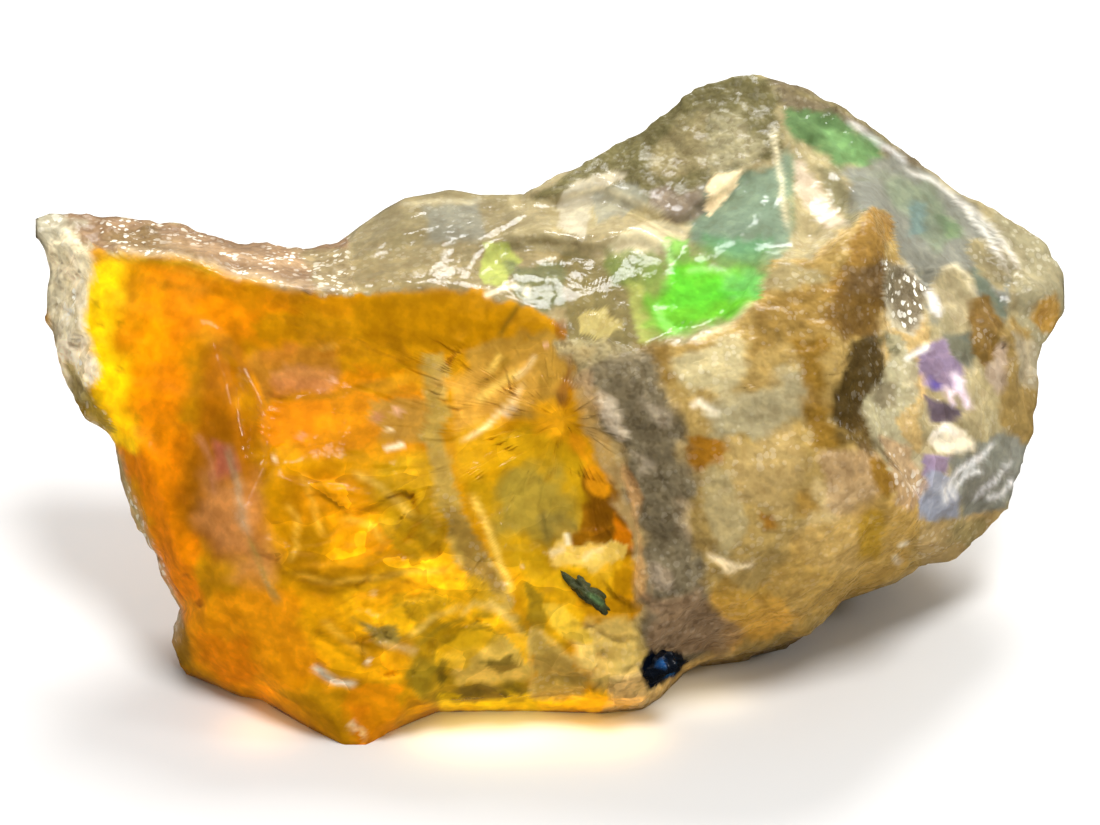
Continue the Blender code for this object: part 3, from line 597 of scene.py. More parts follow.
def new_mesh(name, points, quads, triangles=()):
    """A mesh from whole arrays: points in metres, four-cornered faces, then three-cornered ones."""
    mesh = bpy.data.meshes.new(name)
    corners = np.concatenate([np.asarray(quads).ravel(), np.asarray(triangles, int).ravel()]).astype(np.int32)
    sizes = np.concatenate([np.full(len(quads), 4), np.full(len(triangles), 3)])
    mesh.vertices.add(len(points))
    mesh.vertices.foreach_set("co", np.asarray(points, np.float32).ravel())
    mesh.loops.add(len(corners))
    mesh.loops.foreach_set("vertex_index", corners)
    mesh.polygons.add(len(sizes))
    mesh.polygons.foreach_set("loop_start", np.concatenate([[0], np.cumsum(sizes)[:-1]]).astype(np.int32))
    mesh.polygons.foreach_set("use_smooth", np.ones(len(sizes), bool))
    mesh.update(calc_edges=True)
    mesh.validate()
    return mesh


def new_piece(name, mesh, material):
    """A piece of the stone: it rides on the one body and takes the material it is given."""
    piece = bpy.data.objects.new(name, mesh)
    bpy.context.scene.collection.objects.link(piece)
    mesh.materials.append(material)
    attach(piece, "root")
    return piece


stone_mesh = new_mesh("opal_surface", standing * MM, quads, fans)
print("stone:", len(stone_mesh.vertices), "points,", 2 * len(quads) + len(fans), "triangles")

# %% [markdown]
# ## Colours
# The colours of an opal have no pattern that a formula could give: they follow the cracks, the chemistry
# and the light inside it. So the stone is painted, as one would paint a model: a named palette, soft
# patches laid over each other in order, and thin strokes for cracks and for bright edges. Part of the paint
# is painted light and shade: painted highlights on bright edges and facets, painted glints, patches of
# painted shade, and a painted glow. The brush edge wanders by noise, so that no patch looks cut out. The
# result is a colour at each point of the mesh, which the material reads as an attribute.

# %% Palette
PAINTS = {
    "sun_yellow": "#face0b", "marigold": "#f7b116", "bright_orange": "#f89802", "pumpkin": "#de9609",
    "amber_orange": "#d38507", "burnt_orange": "#ca7304", "brown_amber": "#af6c08", "honey": "#d4970a",
    "gold": "#f4c03f", "lemon_gold": "#f8bd15", "old_gold": "#cb9e11", "olive_gold": "#c08605",
    "olive": "#b28b13", "khaki": "#c0a048", "smoky_khaki": "#897118", "apricot": "#e6b047",
    "pale_gold": "#e6c567", "sand_gold": "#bf9a4d", "copper": "#e19c5a", "rose_copper": "#d9986c",
    "rosewood": "#ce6f6a", "tea_brown": "#95620a", "dark_brown": "#7c3c12", "bark": "#503e1c",
    "ink": "#3c2e11", "brown_haze": "#9e6133", "rust": "#b25706", "cream": "#f2d99e", "bone": "#d3c8a1",
    "oat": "#d4bc95", "tan": "#b99f68", "buff": "#a48a4f", "ochre": "#b68e39", "rust_ochre": "#a57607",
    "bronze": "#7d6028", "umber": "#665516", "rose_tan": "#b2936c", "pink_beige": "#cfae84",
    "dove": "#c0ac96", "warm_grey": "#a49c7a", "milk": "#b7aa7e", "mist": "#bdb59a", "moss_grey": "#978b64",
    "sage": "#79a567", "dull_olive": "#6c6642", "pale_teal": "#8ca07b", "deep_teal": "#869c83",
    "slate_blue": "#b2b9c9", "ash": "#929486", "straw": "#fddc94", "shell_cream": "#fce6b8",
    "shell_pink": "#dacaaf", "pearl": "#faefd1", "lime": "#c0f09a", "leaf": "#a2f07b",
    "spring_green": "#5bc631", "sea_green": "#75c36f", "grass": "#66b62d", "yellow_green": "#a3ac5b",
    "violet": "#483eb0", "mauve": "#928099", "plum_grey": "#63566a", "vein_grey": "#756a51",
    "vein_dark": "#5c523d", "navy": "#010812", "blue": "#154b85", "white": "#f9f6ea", "warm_white": "#f4eac5",
    "peach": "#f4c098", "butter": "#f5ce5e", "cool_white": "#efefec", "lilac_white": "#f4e1ef",
    "mineral_green": "#36391f", "mineral_heart": "#607f4f", "dome_dark": "#646c60", "green_lit": "#6e8840",
    "teal_low": "#5e8d62", "facet_amber_e": "#8e7f3d", "beige_facet": "#cfc078", "vein_violet_low": "#8e7355",
    "green_haze": "#6c7751", "vein_orange_edge": "#c6975d", "green_edge": "#80c253", "rock_brown": "#6c5125",
    "brown_shade_core": "#744707", "left_end_olive": "#9f8f39", "facet_amber_g": "#8c6a07",
    "lump_far_ochre": "#a07a30", "slope_mauve": "#8b7d6d", "rock_ochre_mid": "#7e5b0f",
    "dendrite_b": "#826c26", "rock_glossy_brown": "#6a5537", "facet_amber_n": "#d4b135",
    "beige_mid": "#83794e", "dome_teal": "#759895", "grey_swirl": "#848478", "left_bright_orange": "#e48306",
    "green_slope_dark": "#57634b", "rock_apex": "#947337", "dendrite_field": "#9d7c15",
    "dendrite_gold": "#e5ac0d", "orange_under_vein": "#f4a214", "edge_grey_green": "#6d7c67",
    "vein_tan_foot": "#c9aa68", "ledge_tan": "#7d6741",
}

def linear(paint):
    """A palette colour as linear red, green and blue: ((c + 0.055) / 1.055) ^ 2.4 for each channel."""
    channels = np.array([int(PAINTS[paint][k:k + 2], 16) / 255 for k in (1, 3, 5)])
    return ((channels + 0.055) / 1.055) ** 2.4


print("palette:", len(PAINTS), "colours")

# %% [markdown]
# ## Finishes
# What the light does differs too. Opal lets light in, host rock doesn't. Each finish has four traits: how
# much light goes through, how gritty the surface is, how much painted glow it gives, as though it shone with
# colour of its own as the opal's play of colour does, and how many painted glints lie in it as small white
# flecks, where grains of a broken edge catch the light. In the amber the painted glow stands for light
# scattered inside the stone.

# %% Finishes: light let through, grit, painted glow, painted glint flecks
# The glint and sparkle finishes lay painted highlights and glints; lit_amber and deep_amber have the most
# painted glow.
FINISHES = {
    "amber": (0.26, 0.06, 0.05, 0.0), "haze": (0.20, 0.14, 0.0, 0.05), "crust": (0.12, 0.60, 0.0, 0.45),
    "milky": (0.32, 0.16, 0.0, 0.06), "painted_glow": (0.22, 0.12, 0.3, 0.0), "peak": (0.12, 0.5, 0.0, 0.06),
    "glassy": (0.22, 0.05, 0.1, 0.0), "rock": (0.0, 0.48, 0.0, 0.05), "cream_rock": (0.0, 0.32, 0.0, 0.10),
    "vein": (0.0, 0.85, 0.0, 0.04), "navy": (0.0, 0.3, 0.0, 0.0), "glint": (0.15, 0.0, 0.15, 0.0),
    "sparkle": (0.15, 0.5, 0.0, 1.0), "lit_amber": (0.24, 0.06, 0.75, 0.0),
    "glassy_tan": (0.24, 0.28, 0.0, 0.12), "deep_amber": (0.0, 0.20, 0.55, 0.0),
    "rough_amber": (0.14, 0.22, 0.25, 0.0), "clear_dome": (0.36, 0.04, 0.0, 0.0),
}

# %% [markdown]
# ## Patches on the broken face
# Each patch is named for what it is on the stone. It says its finish, its paint, how soft its edge is in
# millimetres, how strongly it covers what lies under it, and its outline on the broken face, in tenths of a
# millimetre.

# %% Patches in front
PATCHES = {
    "clear_ground": ("milky", "milk", 0.12, 1, [(-181, 186), (-176, 203), (-17, 213), (69, 247), (189, 220),
        (189, 35), (130, 49), (52, 18), (46, 64), (30, 110), (17, 133), (6, 138), (1, 143), (-6, 147),
        (-13, 150), (-31, 154), (-45, 154), (-62, 152), (-81, 154), (-95, 156), (-113, 161), (-124, 165),
        (-145, 166), (-158, 168), (-177, 173)]),
    "rock_ground": ("rock", "tan", 0.14, 1, [(30, 133), (46, 135), (60, 141), (70, 150), (74, 163), (87, 163),
        (107, 182), (118, 163), (128, 141), (124, 104), (120, 77), (140, 75), (158, 83), (148, 62), (130, 42),
        (52, 14), (17, 9), (30, 51), (17, 117)]),
    "left_yellow": ("lit_amber", "sun_yellow", 0.9, 1, [(-159, 168), (-142, 165), (-141, 150), (-144, 134),
        (-139, 117), (-134, 101), (-148, 102), (-157, 122)]),
    "yellow_to_orange": ("lit_amber", "bright_orange", 1.3, 0.85, [(-139, 165), (-127, 163), (-124, 140),
        (-132, 117), (-130, 104), (-135, 107), (-139, 134)]),
    "upper_orange": ("lit_amber", "left_bright_orange", 1.2, 0.85, [(-131, 161), (-99, 155), (-83, 146),
        (-96, 133), (-114, 138), (-128, 117), (-133, 124)]),
    "upper_brown_band": ("amber", "amber_orange", 0.5, 0.45, [(-123, 163), (-95, 155), (-63, 150), (-66, 144),
        (-95, 146), (-121, 154)]),
    "left_deep": ("deep_amber", "burnt_orange", 0.7, 1, [(-144, 99), (-121, 107), (-117, 77), (-115, 50),
        (-125, 36), (-133, 59)]),
    "left_bright_orange": ("deep_amber", "left_bright_orange", 0.35, 0.7, [(-137, 117), (-126, 120),
        (-123, 107), (-128, 97), (-137, 100)]),
    "lobe": ("amber", "brown_amber", 1, 1, [(-117, 132), (-112, 137), (-106, 136), (-97, 120), (-94, 104),
        (-93, 84), (-98, 64), (-113, 61), (-121, 80), (-125, 102), (-123, 118)]),
    "lobe_right_olive": ("amber", "rust_ochre", 0.5, 0.6, [(-107, 135), (-100, 130), (-95, 117), (-92, 98),
        (-93, 84), (-96, 84), (-97, 104), (-101, 120), (-107, 130)]),
    "lobe_haze": ("amber", "copper", 0.9, 0.7, [(-114, 94), (-102, 90), (-93, 71), (-95, 59), (-111, 64),
        (-121, 77)]),
    "lobe_rose": ("amber", "rosewood", 0.45, 0.6, [(-112, 104), (-106, 103), (-104, 94), (-110, 91)]),
    "below_lobe": ("deep_amber", "amber_orange", 0.6, 0.9, [(-124, 49), (-99, 60), (-72, 49), (-72, 21),
        (-97, 16), (-122, 27)]),
    "low_left_red": ("deep_amber", "burnt_orange", 0.5, 0.8, [(-116, 40), (-100, 37), (-97, 21), (-110, 19),
        (-120, 29)]),
    "olive_heel": ("deep_amber", "rock_ochre_mid", 0.25, 0.9, [(-129, 44), (-123, 41), (-122, 26),
        (-129, 26)]),
    "recess_top": ("rough_amber", "olive_gold", 0.5, 0.9, [(-95, 147), (-63, 144), (-43, 137), (-50, 130),
        (-83, 135), (-96, 138)]),
    "recess_orange": ("rough_amber", "amber_orange", 0.4, 0.9, [(-93, 124), (-63, 126), (-39, 127),
        (-39, 100), (-82, 97), (-94, 104)]),
    "recess_pink": ("rough_amber", "brown_haze", 0.4, 0.5, [(-99, 135), (-83, 135), (-72, 133), (-70, 125),
        (-77, 119), (-94, 118), (-99, 127)]),
    "recess_rose": ("rough_amber", "rose_copper", 0.3, 0.35, [(-92, 126), (-83, 128), (-72, 126), (-74, 120),
        (-90, 119)]),
    "recess_bright": ("amber", "bright_orange", 0.22, 1, [(-95, 116), (-72, 118), (-71, 108), (-83, 102),
        (-90, 100), (-95, 107)]),
    "recess_streak": ("amber", "marigold", 0.18, 0.9, [(-66, 120), (-40, 129), (-40, 123), (-62, 118)]),
    "recess_tan": ("amber", "ochre", 0.25, 0.8, [(-60, 116), (-39, 117), (-41, 104), (-56, 102)]),
    "olive_top": ("amber", "olive_gold", 0.4, 1, [(-65, 150), (-45, 153), (-16, 151), (-3, 143), (-10, 135),
        (-36, 133), (-63, 136)]),
    "olive_right": ("amber", "ochre", 0.35, 0.85, [(-26, 133), (-10, 139), (6, 137), (9, 125), (4, 110),
        (-15, 110), (-26, 117)]),
    "amber_fan": ("amber", "apricot", 0.25, 0.8, [(-34, 122), (-23, 127), (-6, 130), (-4, 119), (-16, 107),
        (-32, 104)]),
    "red_edge": ("amber", "dark_brown", 0.35, 0.6, [(-1, 144), (4, 143), (9, 135), (9, 122), (5, 114),
        (1, 117), (4, 130)]),
    "mid_orange": ("lit_amber", "olive_gold", 0.6, 1, [(-93, 98), (-43, 100), (-36, 77), (-43, 64), (-82, 59),
        (-93, 71)]),
    "mid_mottle": ("amber", "brown_amber", 0.6, 0.3, [(-86, 90), (-72, 94), (-63, 84), (-69, 74), (-82, 77)]),
    "mid_lit": ("lit_amber", "pumpkin", 0.4, 0.8, [(-81, 89), (-66, 91), (-60, 83), (-68, 76), (-80, 78)]),
    "mid_yellow": ("amber", "old_gold", 0.6, 0.9, [(-59, 97), (-37, 100), (-34, 77), (-26, 61), (-39, 64),
        (-53, 77)]),
    "facet_bright": ("lit_amber", "pumpkin", 0.16, 1, [(-76, 78), (-67, 79), (-55, 74), (-49, 67), (-58, 65),
        (-66, 59), (-73, 71)]),
    "low_gold": ("lit_amber", "lemon_gold", 0.6, 0.9, [(-72, 54), (-43, 64), (-26, 58), (-16, 44), (-36, 38),
        (-63, 38)]),
    "low_ochre": ("lit_amber", "honey", 0.6, 0.8, [(-82, 51), (-67, 51), (-43, 38), (-36, 20), (-59, 21),
        (-76, 31)]),
    "low_dusk": ("lit_amber", "dendrite_b", 0.35, 0.45, [(-65, 44), (-49, 41), (-32, 34), (-36, 27),
        (-53, 34)]),
    "dendrite_field": ("lit_amber", "dendrite_field", 0.5, 1, [(-44, 41), (-26, 49), (-6, 44), (-6, 14),
        (-37, 13), (-48, 21)]),
    "dendrite_gold": ("lit_amber", "dendrite_gold", 0.3, 0.8, [(-40, 49), (-29, 52), (-23, 44), (-30, 37),
        (-39, 40)]),
    "dendrite_pale": ("amber", "butter", 0.45, 0.7, [(-36, 34), (-10, 38), (-7, 24), (-30, 20)]),
    "base_olive": ("lit_amber", "umber", 0.3, 0.7, [(-40, 20), (-10, 22), (17, 20), (16, 14), (-10, 15),
        (-37, 14)]),
    "base_gold": ("lit_amber", "sun_yellow", 0.2, 0.6, [(-37, 19), (-16, 19), (4, 16), (4, 12), (-37, 12)]),
    "yellow_field": ("amber", "old_gold", 0.5, 1, [(-32, 104), (-16, 108), (-3, 112), (13, 96), (17, 64),
        (4, 50), (-16, 64), (-26, 84)]),
    "yellow_olive": ("amber", "left_end_olive", 0.6, 0.8, [(-14, 94), (4, 94), (8, 81), (0, 68), (-16, 74)]),
    "yellow_spot_low": ("amber", "dendrite_gold", 0.5, 1, [(-28, 104), (-18, 108), (-14, 100), (-19, 89),
        (-27, 91)]),
    "yellow_spot_high": ("amber", "marigold", 0.5, 1, [(-6, 118), (0, 118), (5, 112), (4, 106), (-3, 108)]),
    "grey_spot": ("amber", "facet_amber_e", 0.4, 0.7, [(-6, 80), (6, 81), (8, 73), (-2, 69)]),
    "band": ("haze", "khaki", 0.2, 1, [(-43, 133), (-35, 133), (-34, 117), (-35, 104), (-32, 90), (-29, 80),
        (-21, 67), (-12, 52), (-13, 47), (-19, 50), (-29, 60), (-35, 74), (-39, 89), (-42, 104), (-41, 117)]),
    "band_dark": ("haze", "bronze", 0.3, 0.6, [(-35, 84), (-29, 80), (-21, 67), (-16, 54), (-22, 54),
        (-30, 68)]),
    # Painted shade: a brown shadow beside the vein, darkest in its core.
    "brown_shade": ("amber", "tea_brown", 0.35, 1, [(11, 94), (21, 95), (28, 80), (28, 67), (17, 64), (8, 67),
        (10, 81)]),
    "brown_shade_core": ("amber", "brown_shade_core", 0.35, 0.7, [(14, 85), (21, 87), (23, 76), (17, 69), (13, 74)]),
    "brown_orange": ("amber", "left_bright_orange", 0.2, 0.8, [(21, 79), (27, 74), (28, 67), (21, 68)]),
    "orange_under_vein": ("amber", "orange_under_vein", 0.3, 0.8, [(6, 107), (13, 100), (21, 91), (18, 84),
        (11, 91)]),
    # Painted highlight: a pale facet that catches the light.
    "lit_pale_facet": ("haze", "butter", 0.12, 1, [(-1, 66), (2, 69), (5, 72), (8, 68), (13, 69), (18, 68),
        (22, 70), (28, 71), (26, 66), (21, 62), (18, 58), (13, 60), (8, 63), (2, 61)]),
    "gold_under": ("amber", "lemon_gold", 0.2, 0.9, [(4, 62), (13, 60), (24, 64), (22, 51), (17, 52),
        (10, 59)]),
    "right_ochre": ("amber", "honey", 0.2, 0.9, [(21, 60), (28, 64), (31, 50), (25, 42), (21, 51)]),
    "gold_left_grain": ("lit_amber", "old_gold", 0.45, 0.8, [(-14, 54), (4, 61), (8, 51), (17, 37), (4, 34),
        (-6, 44)]),
    "pale_tan_low": ("haze", "pale_gold", 0.4, 0.9, [(6, 39), (17, 45), (30, 44), (31, 20), (18, 19),
        (10, 28)]),
    "tan_triangle": ("haze", "khaki", 0.08, 1, [(-6, 42), (13, 24), (10, 17), (-6, 16)]),
    "base_gold_right": ("lit_amber", "lemon_gold", 0.2, 0.7, [(-6, 16), (17, 19), (29, 15), (17, 12),
        (-6, 12)]),
    "facet_amber_a": ("lit_amber", "rust_ochre", 0.07, 0.8, [(-86, 64), (-79, 77), (-72, 64), (-58, 59),
        (-76, 57)]),
    "facet_amber_b": ("lit_amber", "honey", 0.07, 0.8, [(-67, 52), (-55, 56), (-33, 58), (-48, 49),
        (-63, 47)]),
    "facet_amber_c": ("lit_amber", "olive", 0.06, 0.8, [(-52, 52), (-39, 54), (-32, 50), (-43, 43),
        (-50, 46)]),
    "facet_amber_d": ("lit_amber", "lemon_gold", 0.07, 0.8, [(-59, 46), (-52, 50), (-43, 43), (-48, 38),
        (-56, 40)]),
    "facet_amber_e": ("haze", "facet_amber_e", 0.08, 0.8, [(-62, 43), (-52, 41), (-49, 36), (-57, 37)]),
    "facet_amber_f": ("lit_amber", "olive_gold", 0.07, 0.8, [(-82, 47), (-73, 47), (-59, 36), (-65, 33),
        (-77, 37)]),
    "facet_amber_g": ("lit_amber", "facet_amber_g", 0.07, 0.8, [(-48, 38), (-39, 44), (-26, 42), (-34, 34),
        (-43, 28)]),
    "facet_amber_h": ("lit_amber", "old_gold", 0.06, 0.8, [(-37, 34), (-26, 41), (-17, 40), (-26, 28),
        (-36, 24)]),
    "facet_amber_i": ("lit_amber", "smoky_khaki", 0.08, 0.75, [(-48, 25), (-43, 32), (-37, 28), (-42, 17),
        (-46, 20)]),
    "facet_amber_j": ("lit_amber", "lemon_gold", 0.06, 0.85, [(-28, 45), (-16, 47), (-7, 38), (-8, 31),
        (-19, 40)]),
    "facet_amber_k": ("lit_amber", "olive", 0.08, 0.8, [(-56, 77), (-49, 77), (-41, 69), (-44, 62),
        (-52, 67)]),
    "facet_amber_l": ("lit_amber", "olive", 0.08, 0.75, [(-51, 84), (-39, 82), (-35, 68), (-41, 67),
        (-48, 76)]),
    "facet_amber_m": ("lit_amber", "smoky_khaki", 0.06, 0.85, [(-8, 56), (-3, 52), (-2, 41), (-6, 42)]),
    "facet_amber_n": ("lit_amber", "facet_amber_n", 0.06, 0.85, [(-2, 49), (6, 49), (13, 37), (6, 36),
        (0, 41)]),
    "facet_amber_o": ("lit_amber", "olive", 0.08, 0.8, [(-32, 58), (-24, 61), (-16, 50), (-23, 49)]),
    "dendrite_a": ("amber", "umber", 0.07, 0.8, [(-23, 30), (-13, 32), (-10, 28), (-17, 24)]),
    "dendrite_b": ("amber", "dendrite_b", 0.07, 0.8, [(-32, 20), (-23, 22), (-10, 19), (-17, 16), (-29, 16)]),
    "dendrite_c": ("amber", "umber", 0.06, 0.75, [(-39, 27), (-36, 33), (-33, 30), (-36, 20)]),
    "tip": ("lit_amber", "amber_orange", 0.25, 0.9, [(-68, 21), (-49, 20), (-51, 6), (-64, 0), (-68, 8)]),
    "tip_red": ("lit_amber", "rust", 0.4, 0.45, [(-68, 15), (-61, 13), (-62, 1), (-66, 4)]),
    "ledge": ("crust", "vein_violet_low", 0.12, 1, [(-175, 182), (-153, 180), (-122, 178), (-105, 172),
        (-69, 172), (-64, 153), (-81, 153), (-95, 156), (-113, 161), (-124, 165), (-145, 166), (-158, 168),
        (-173, 171)]),
    "ledge_tan": ("crust", "ledge_tan", 0.35, 0.8, [(-156, 174), (-135, 174), (-118, 169), (-115, 164),
        (-141, 167)]),
    "ledge_rose": ("crust", "vein_violet_low", 0.3, 0.8, [(-109, 167), (-84, 166), (-67, 163), (-70, 154),
        (-96, 158)]),
    "ledge_cream": ("crust", "moss_grey", 0.25, 0.7, [(-86, 168), (-67, 168), (-65, 153), (-77, 153)]),
    "left_end": ("crust", "warm_white", 0.4, 1, [(-176, 180), (-165, 180), (-155, 168), (-156, 151),
        (-156, 133), (-153, 125), (-157, 116), (-164, 118), (-172, 141), (-172, 161)]),
    "horn_grey": ("crust", "ash", 0.3, 0.6, [(-177, 181), (-166, 182), (-166, 174), (-172, 164),
        (-175, 171)]),
    "left_end_brown": ("crust", "bone", 0.3, 0.45, [(-170, 161), (-165, 155), (-162, 141), (-163, 131),
        (-169, 137), (-171, 151)]),
    "left_end_olive": ("crust", "left_end_olive", 0.16, 0.8, [(-165, 132), (-160, 128), (-154, 118),
        (-147, 107), (-152, 105), (-161, 117)]),
    "hump": ("milky", "moss_grey", 0.25, 1, [(-68, 163), (-67, 172), (-56, 185), (-34, 191), (-10, 190),
        (4, 183), (15, 167), (8, 149), (-6, 147), (-23, 153), (-45, 154), (-62, 152)]),
    "hump_blue": ("milky", "ash", 0.35, 0.7, [(-42, 183), (-25, 185), (-23, 172), (-40, 171)]),
    "hump_shade": ("milky", "moss_grey", 0.3, 0.45, [(-67, 171), (-57, 177), (-50, 167), (-56, 157),
        (-64, 157)]),
    "hump_beige": ("milky", "milk", 0.25, 0.8, [(-13, 186), (2, 185), (8, 167), (-3, 163), (-11, 172)]),
    "lime": ("painted_glow", "yellow_green", 0.12, 1, [(-23, 170), (-15, 169), (-11, 163), (-15, 154), (-22, 156)]),
    "green_haze": ("milky", "green_haze", 0.3, 0.8, [(-14, 163), (4, 163), (10, 150), (-1, 145), (-12, 151)]),
    "beige_mid": ("milky", "beige_mid", 0.35, 1, [(4, 165), (30, 163), (35, 140), (30, 133), (17, 133),
        (7, 138)]),
    "beige_facet": ("milky", "beige_facet", 0.12, 0.9, [(9, 144), (19, 147), (24, 141), (16, 137),
        (10, 139)]),
    "yellow_green": ("painted_glow", "yellow_green", 0.25, 0.9, [(26, 156), (37, 160), (39, 139), (30, 136)]),
    "peak": ("peak", "dull_olive", 0.3, 1, [(-5, 186), (17, 202), (33, 213), (53, 227), (70, 232), (78, 220),
        (81, 199), (65, 194), (55, 187), (43, 177), (31, 183), (17, 190), (2, 186)]),
    "peak_mid": ("peak", "moss_grey", 0.3, 0.7, [(31, 202), (43, 213), (54, 215), (53, 196), (43, 191),
        (34, 194)]),
    "peak_grey": ("peak", "warm_grey", 0.5, 0.7, [(53, 215), (65, 217), (72, 202), (61, 192), (52, 196)]),
    "peak_olive": ("peak", "dull_olive", 0.45, 0.45, [(4, 190), (31, 208), (52, 223), (52, 217), (31, 199),
        (14, 189)]),
    "peak_right": ("peak", "vein_grey", 0.2, 1, [(71, 232), (101, 221), (125, 204), (135, 195), (124, 196),
        (107, 206), (82, 215)]),
    "slope_teal": ("clear_dome", "deep_teal", 0.4, 1, [(50, 189), (65, 194), (81, 199), (80, 169), (72, 163),
        (56, 163), (45, 169)]),
    "slope_mauve": ("milky", "slope_mauve", 0.25, 0.9, [(34, 187), (52, 189), (55, 180), (41, 176),
        (32, 182)]),
    # Painted highlights: light cream facets on the clear top, where facets catch the light.
    "lit_facet_left": ("glassy", "mist", 0.1, 1, [(2, 183), (4, 187), (9, 192), (15, 194), (21, 196), (27, 193),
        (19, 188), (14, 180), (12, 170), (4, 173)]),
    "facet_left_dark": ("glassy", "ash", 0.15, 0.7, [(13, 188), (20, 190), (29, 189), (31, 184), (24, 179),
        (16, 176), (14, 183)]),
    "lit_facet_low": ("glassy", "bone", 0.1, 1, [(19, 168), (23, 172), (28, 175), (37, 177), (47, 175), (45, 170),
        (38, 166), (30, 164), (22, 165)]),
    "lit_facet_mid": ("glassy", "shell_cream", 0.1, 1, [(53, 189), (56, 193), (61, 195), (66, 196), (65, 192),
        (61, 188), (58, 183), (54, 180), (53, 184)]),
    "lit_facet_right": ("glassy", "shell_pink", 0.1, 1, [(83, 199), (87, 198), (91, 190), (96, 183), (101, 175),
        (93, 174), (87, 180), (83, 188)]),
    "green_lit": ("milky", "green_lit", 0.4, 0.7, [(20, 164), (34, 166), (38, 160), (33, 154), (22, 155)]),
    "green_edge": ("painted_glow", "green_edge", 0.12, 0.9, [(38, 172), (47, 171), (47, 163), (40, 163)]),
    "teal_low": ("painted_glow", "teal_low", 0.4, 0.9, [(51, 172), (74, 171), (71, 160), (56, 160)]),
    "neon_glow": ("painted_glow", "green_lit", 0.8, 0.7, [(30, 163), (50, 167), (74, 163), (75, 150), (63, 141),
        (46, 137), (32, 137), (29, 150)]),
    "neon": ("painted_glow", "grass", 0.45, 1, [(36, 156), (46, 162), (61, 161), (73, 157), (70, 149), (57, 144),
        (47, 141), (37, 138), (33, 146)]),
    "neon_core": ("painted_glow", "spring_green", 0.45, 0.7, [(41, 158), (56, 158), (61, 151), (47, 145), (40, 148)]),
    "neon_teal": ("painted_glow", "sea_green", 0.4, 0.6, [(58, 158), (71, 158), (69, 150), (60, 149)]),
    "green_slope": ("painted_glow", "mineral_heart", 0.3, 1, [(81, 215), (99, 214), (115, 206), (111, 196), (96, 197),
        (84, 206)]),
    "green_slope_lit": ("painted_glow", "sage", 0.4, 0.75, [(96, 208), (107, 206), (114, 199), (107, 195),
        (98, 199)]),
    "green_slope_dark": ("milky", "green_slope_dark", 0.2, 0.45, [(85, 199), (99, 196), (104, 181),
        (101, 175), (94, 187)]),
    "dome": ("clear_dome", "ash", 0.3, 1, [(101, 197), (121, 200), (142, 188), (159, 170), (159, 151),
        (147, 134), (132, 141), (118, 164), (107, 181), (101, 180)]),
    "dome_green": ("clear_dome", "pale_teal", 0.6, 0.6, [(110, 195), (131, 189), (141, 176), (133, 168),
        (120, 180)]),
    "dome_teal": ("clear_dome", "dome_teal", 0.25, 0.85, [(121, 185), (129, 184), (130, 174), (122, 172)]),
    "dome_leaf": ("painted_glow", "mineral_heart", 0.3, 0.7, [(133, 180), (141, 179), (143, 172), (135, 170)]),
    "dome_olive": ("milky", "milk", 0.3, 0.9, [(131, 160), (139, 163), (144, 157), (144, 141), (137, 135),
        (131, 139), (129, 151)]),
    "dome_shade": ("clear_dome", "dome_dark", 0.3, 0.8, [(133, 139), (141, 139), (146, 132), (143, 125),
        (137, 130)]),
    "lump_tan_top": ("glassy_tan", "moss_grey", 0.15, 0.9, [(144, 172), (151, 174), (158, 168), (161, 160),
        (155, 154), (149, 158), (144, 166)]),
    "edge_grey_green": ("clear_dome", "edge_grey_green", 0.18, 0.8, [(145, 161), (150, 157), (157, 150),
        (158, 145), (154, 142), (150, 150), (144, 155)]),
    "lump_far": ("glassy_tan", "warm_grey", 0.15, 1, [(155, 182), (178, 171), (181, 152), (175, 141),
        (168, 135), (160, 144), (159, 158), (153, 172)]),
    "lump_far_ochre": ("rock", "lump_far_ochre", 0.2, 0.9, [(168, 152), (174, 153), (177, 148), (175, 142),
        (170, 140), (166, 145)]),
    "lump_mid": ("glassy_tan", "bronze", 0.18, 0.95, [(143, 151), (149, 154), (154, 145), (154, 138),
        (149, 125), (144, 132)]),
    "lump_low": ("glassy_tan", "buff", 0.25, 0.95, [(153, 141), (159, 146), (167, 141), (169, 124),
        (167, 105), (158, 99), (153, 110), (154, 124)]),
    "lump_low_pale": ("glassy_tan", "mist", 0.25, 0.7, [(158, 141), (169, 134), (168, 121), (161, 124)]),
    "purple": ("painted_glow", "mauve", 0.2, 1, [(124, 134), (133, 137), (139, 130), (139, 121), (132, 118),
        (125, 122), (122, 128)]),
    "violet": ("painted_glow", "violet", 0.2, 0.8, [(126, 126), (129, 127), (131, 122), (128, 120)]),
    "purple_under": ("clear_dome", "plum_grey", 0.16, 0.9, [(125, 119), (140, 113), (135, 108), (127, 109)]),
    "cream_facet": ("glassy", "pearl", 0.1, 1, [(126, 106), (133, 109), (140, 106), (145, 100), (138, 98),
        (129, 98), (125, 102)]),
    "mauve_under": ("glassy", "mauve", 0.14, 0.95, [(124, 98), (139, 99), (132, 92), (124, 88)]),
    "milk_blue": ("clear_dome", "slate_blue", 0.2, 1, [(120, 86), (128, 93), (137, 91), (140, 76),
        (122, 77)]),
    "milk_grey": ("clear_dome", "ash", 0.25, 1, [(135, 96), (154, 107), (164, 100), (162, 86), (155, 76),
        (141, 72)]),
    "low_tan": ("glassy_tan", "tan", 0.25, 1, [(117, 77), (141, 75), (157, 80), (148, 67), (127, 58),
        (116, 52), (112, 64)]),
    "low_olive_dark": ("rock", "beige_mid", 0.2, 0.7, [(136, 76), (151, 75), (144, 66), (134, 68)]),
    "rock_face": ("rock", "buff", 0.14, 1, [(33, 133), (46, 135), (60, 141), (69, 150), (74, 163), (87, 163),
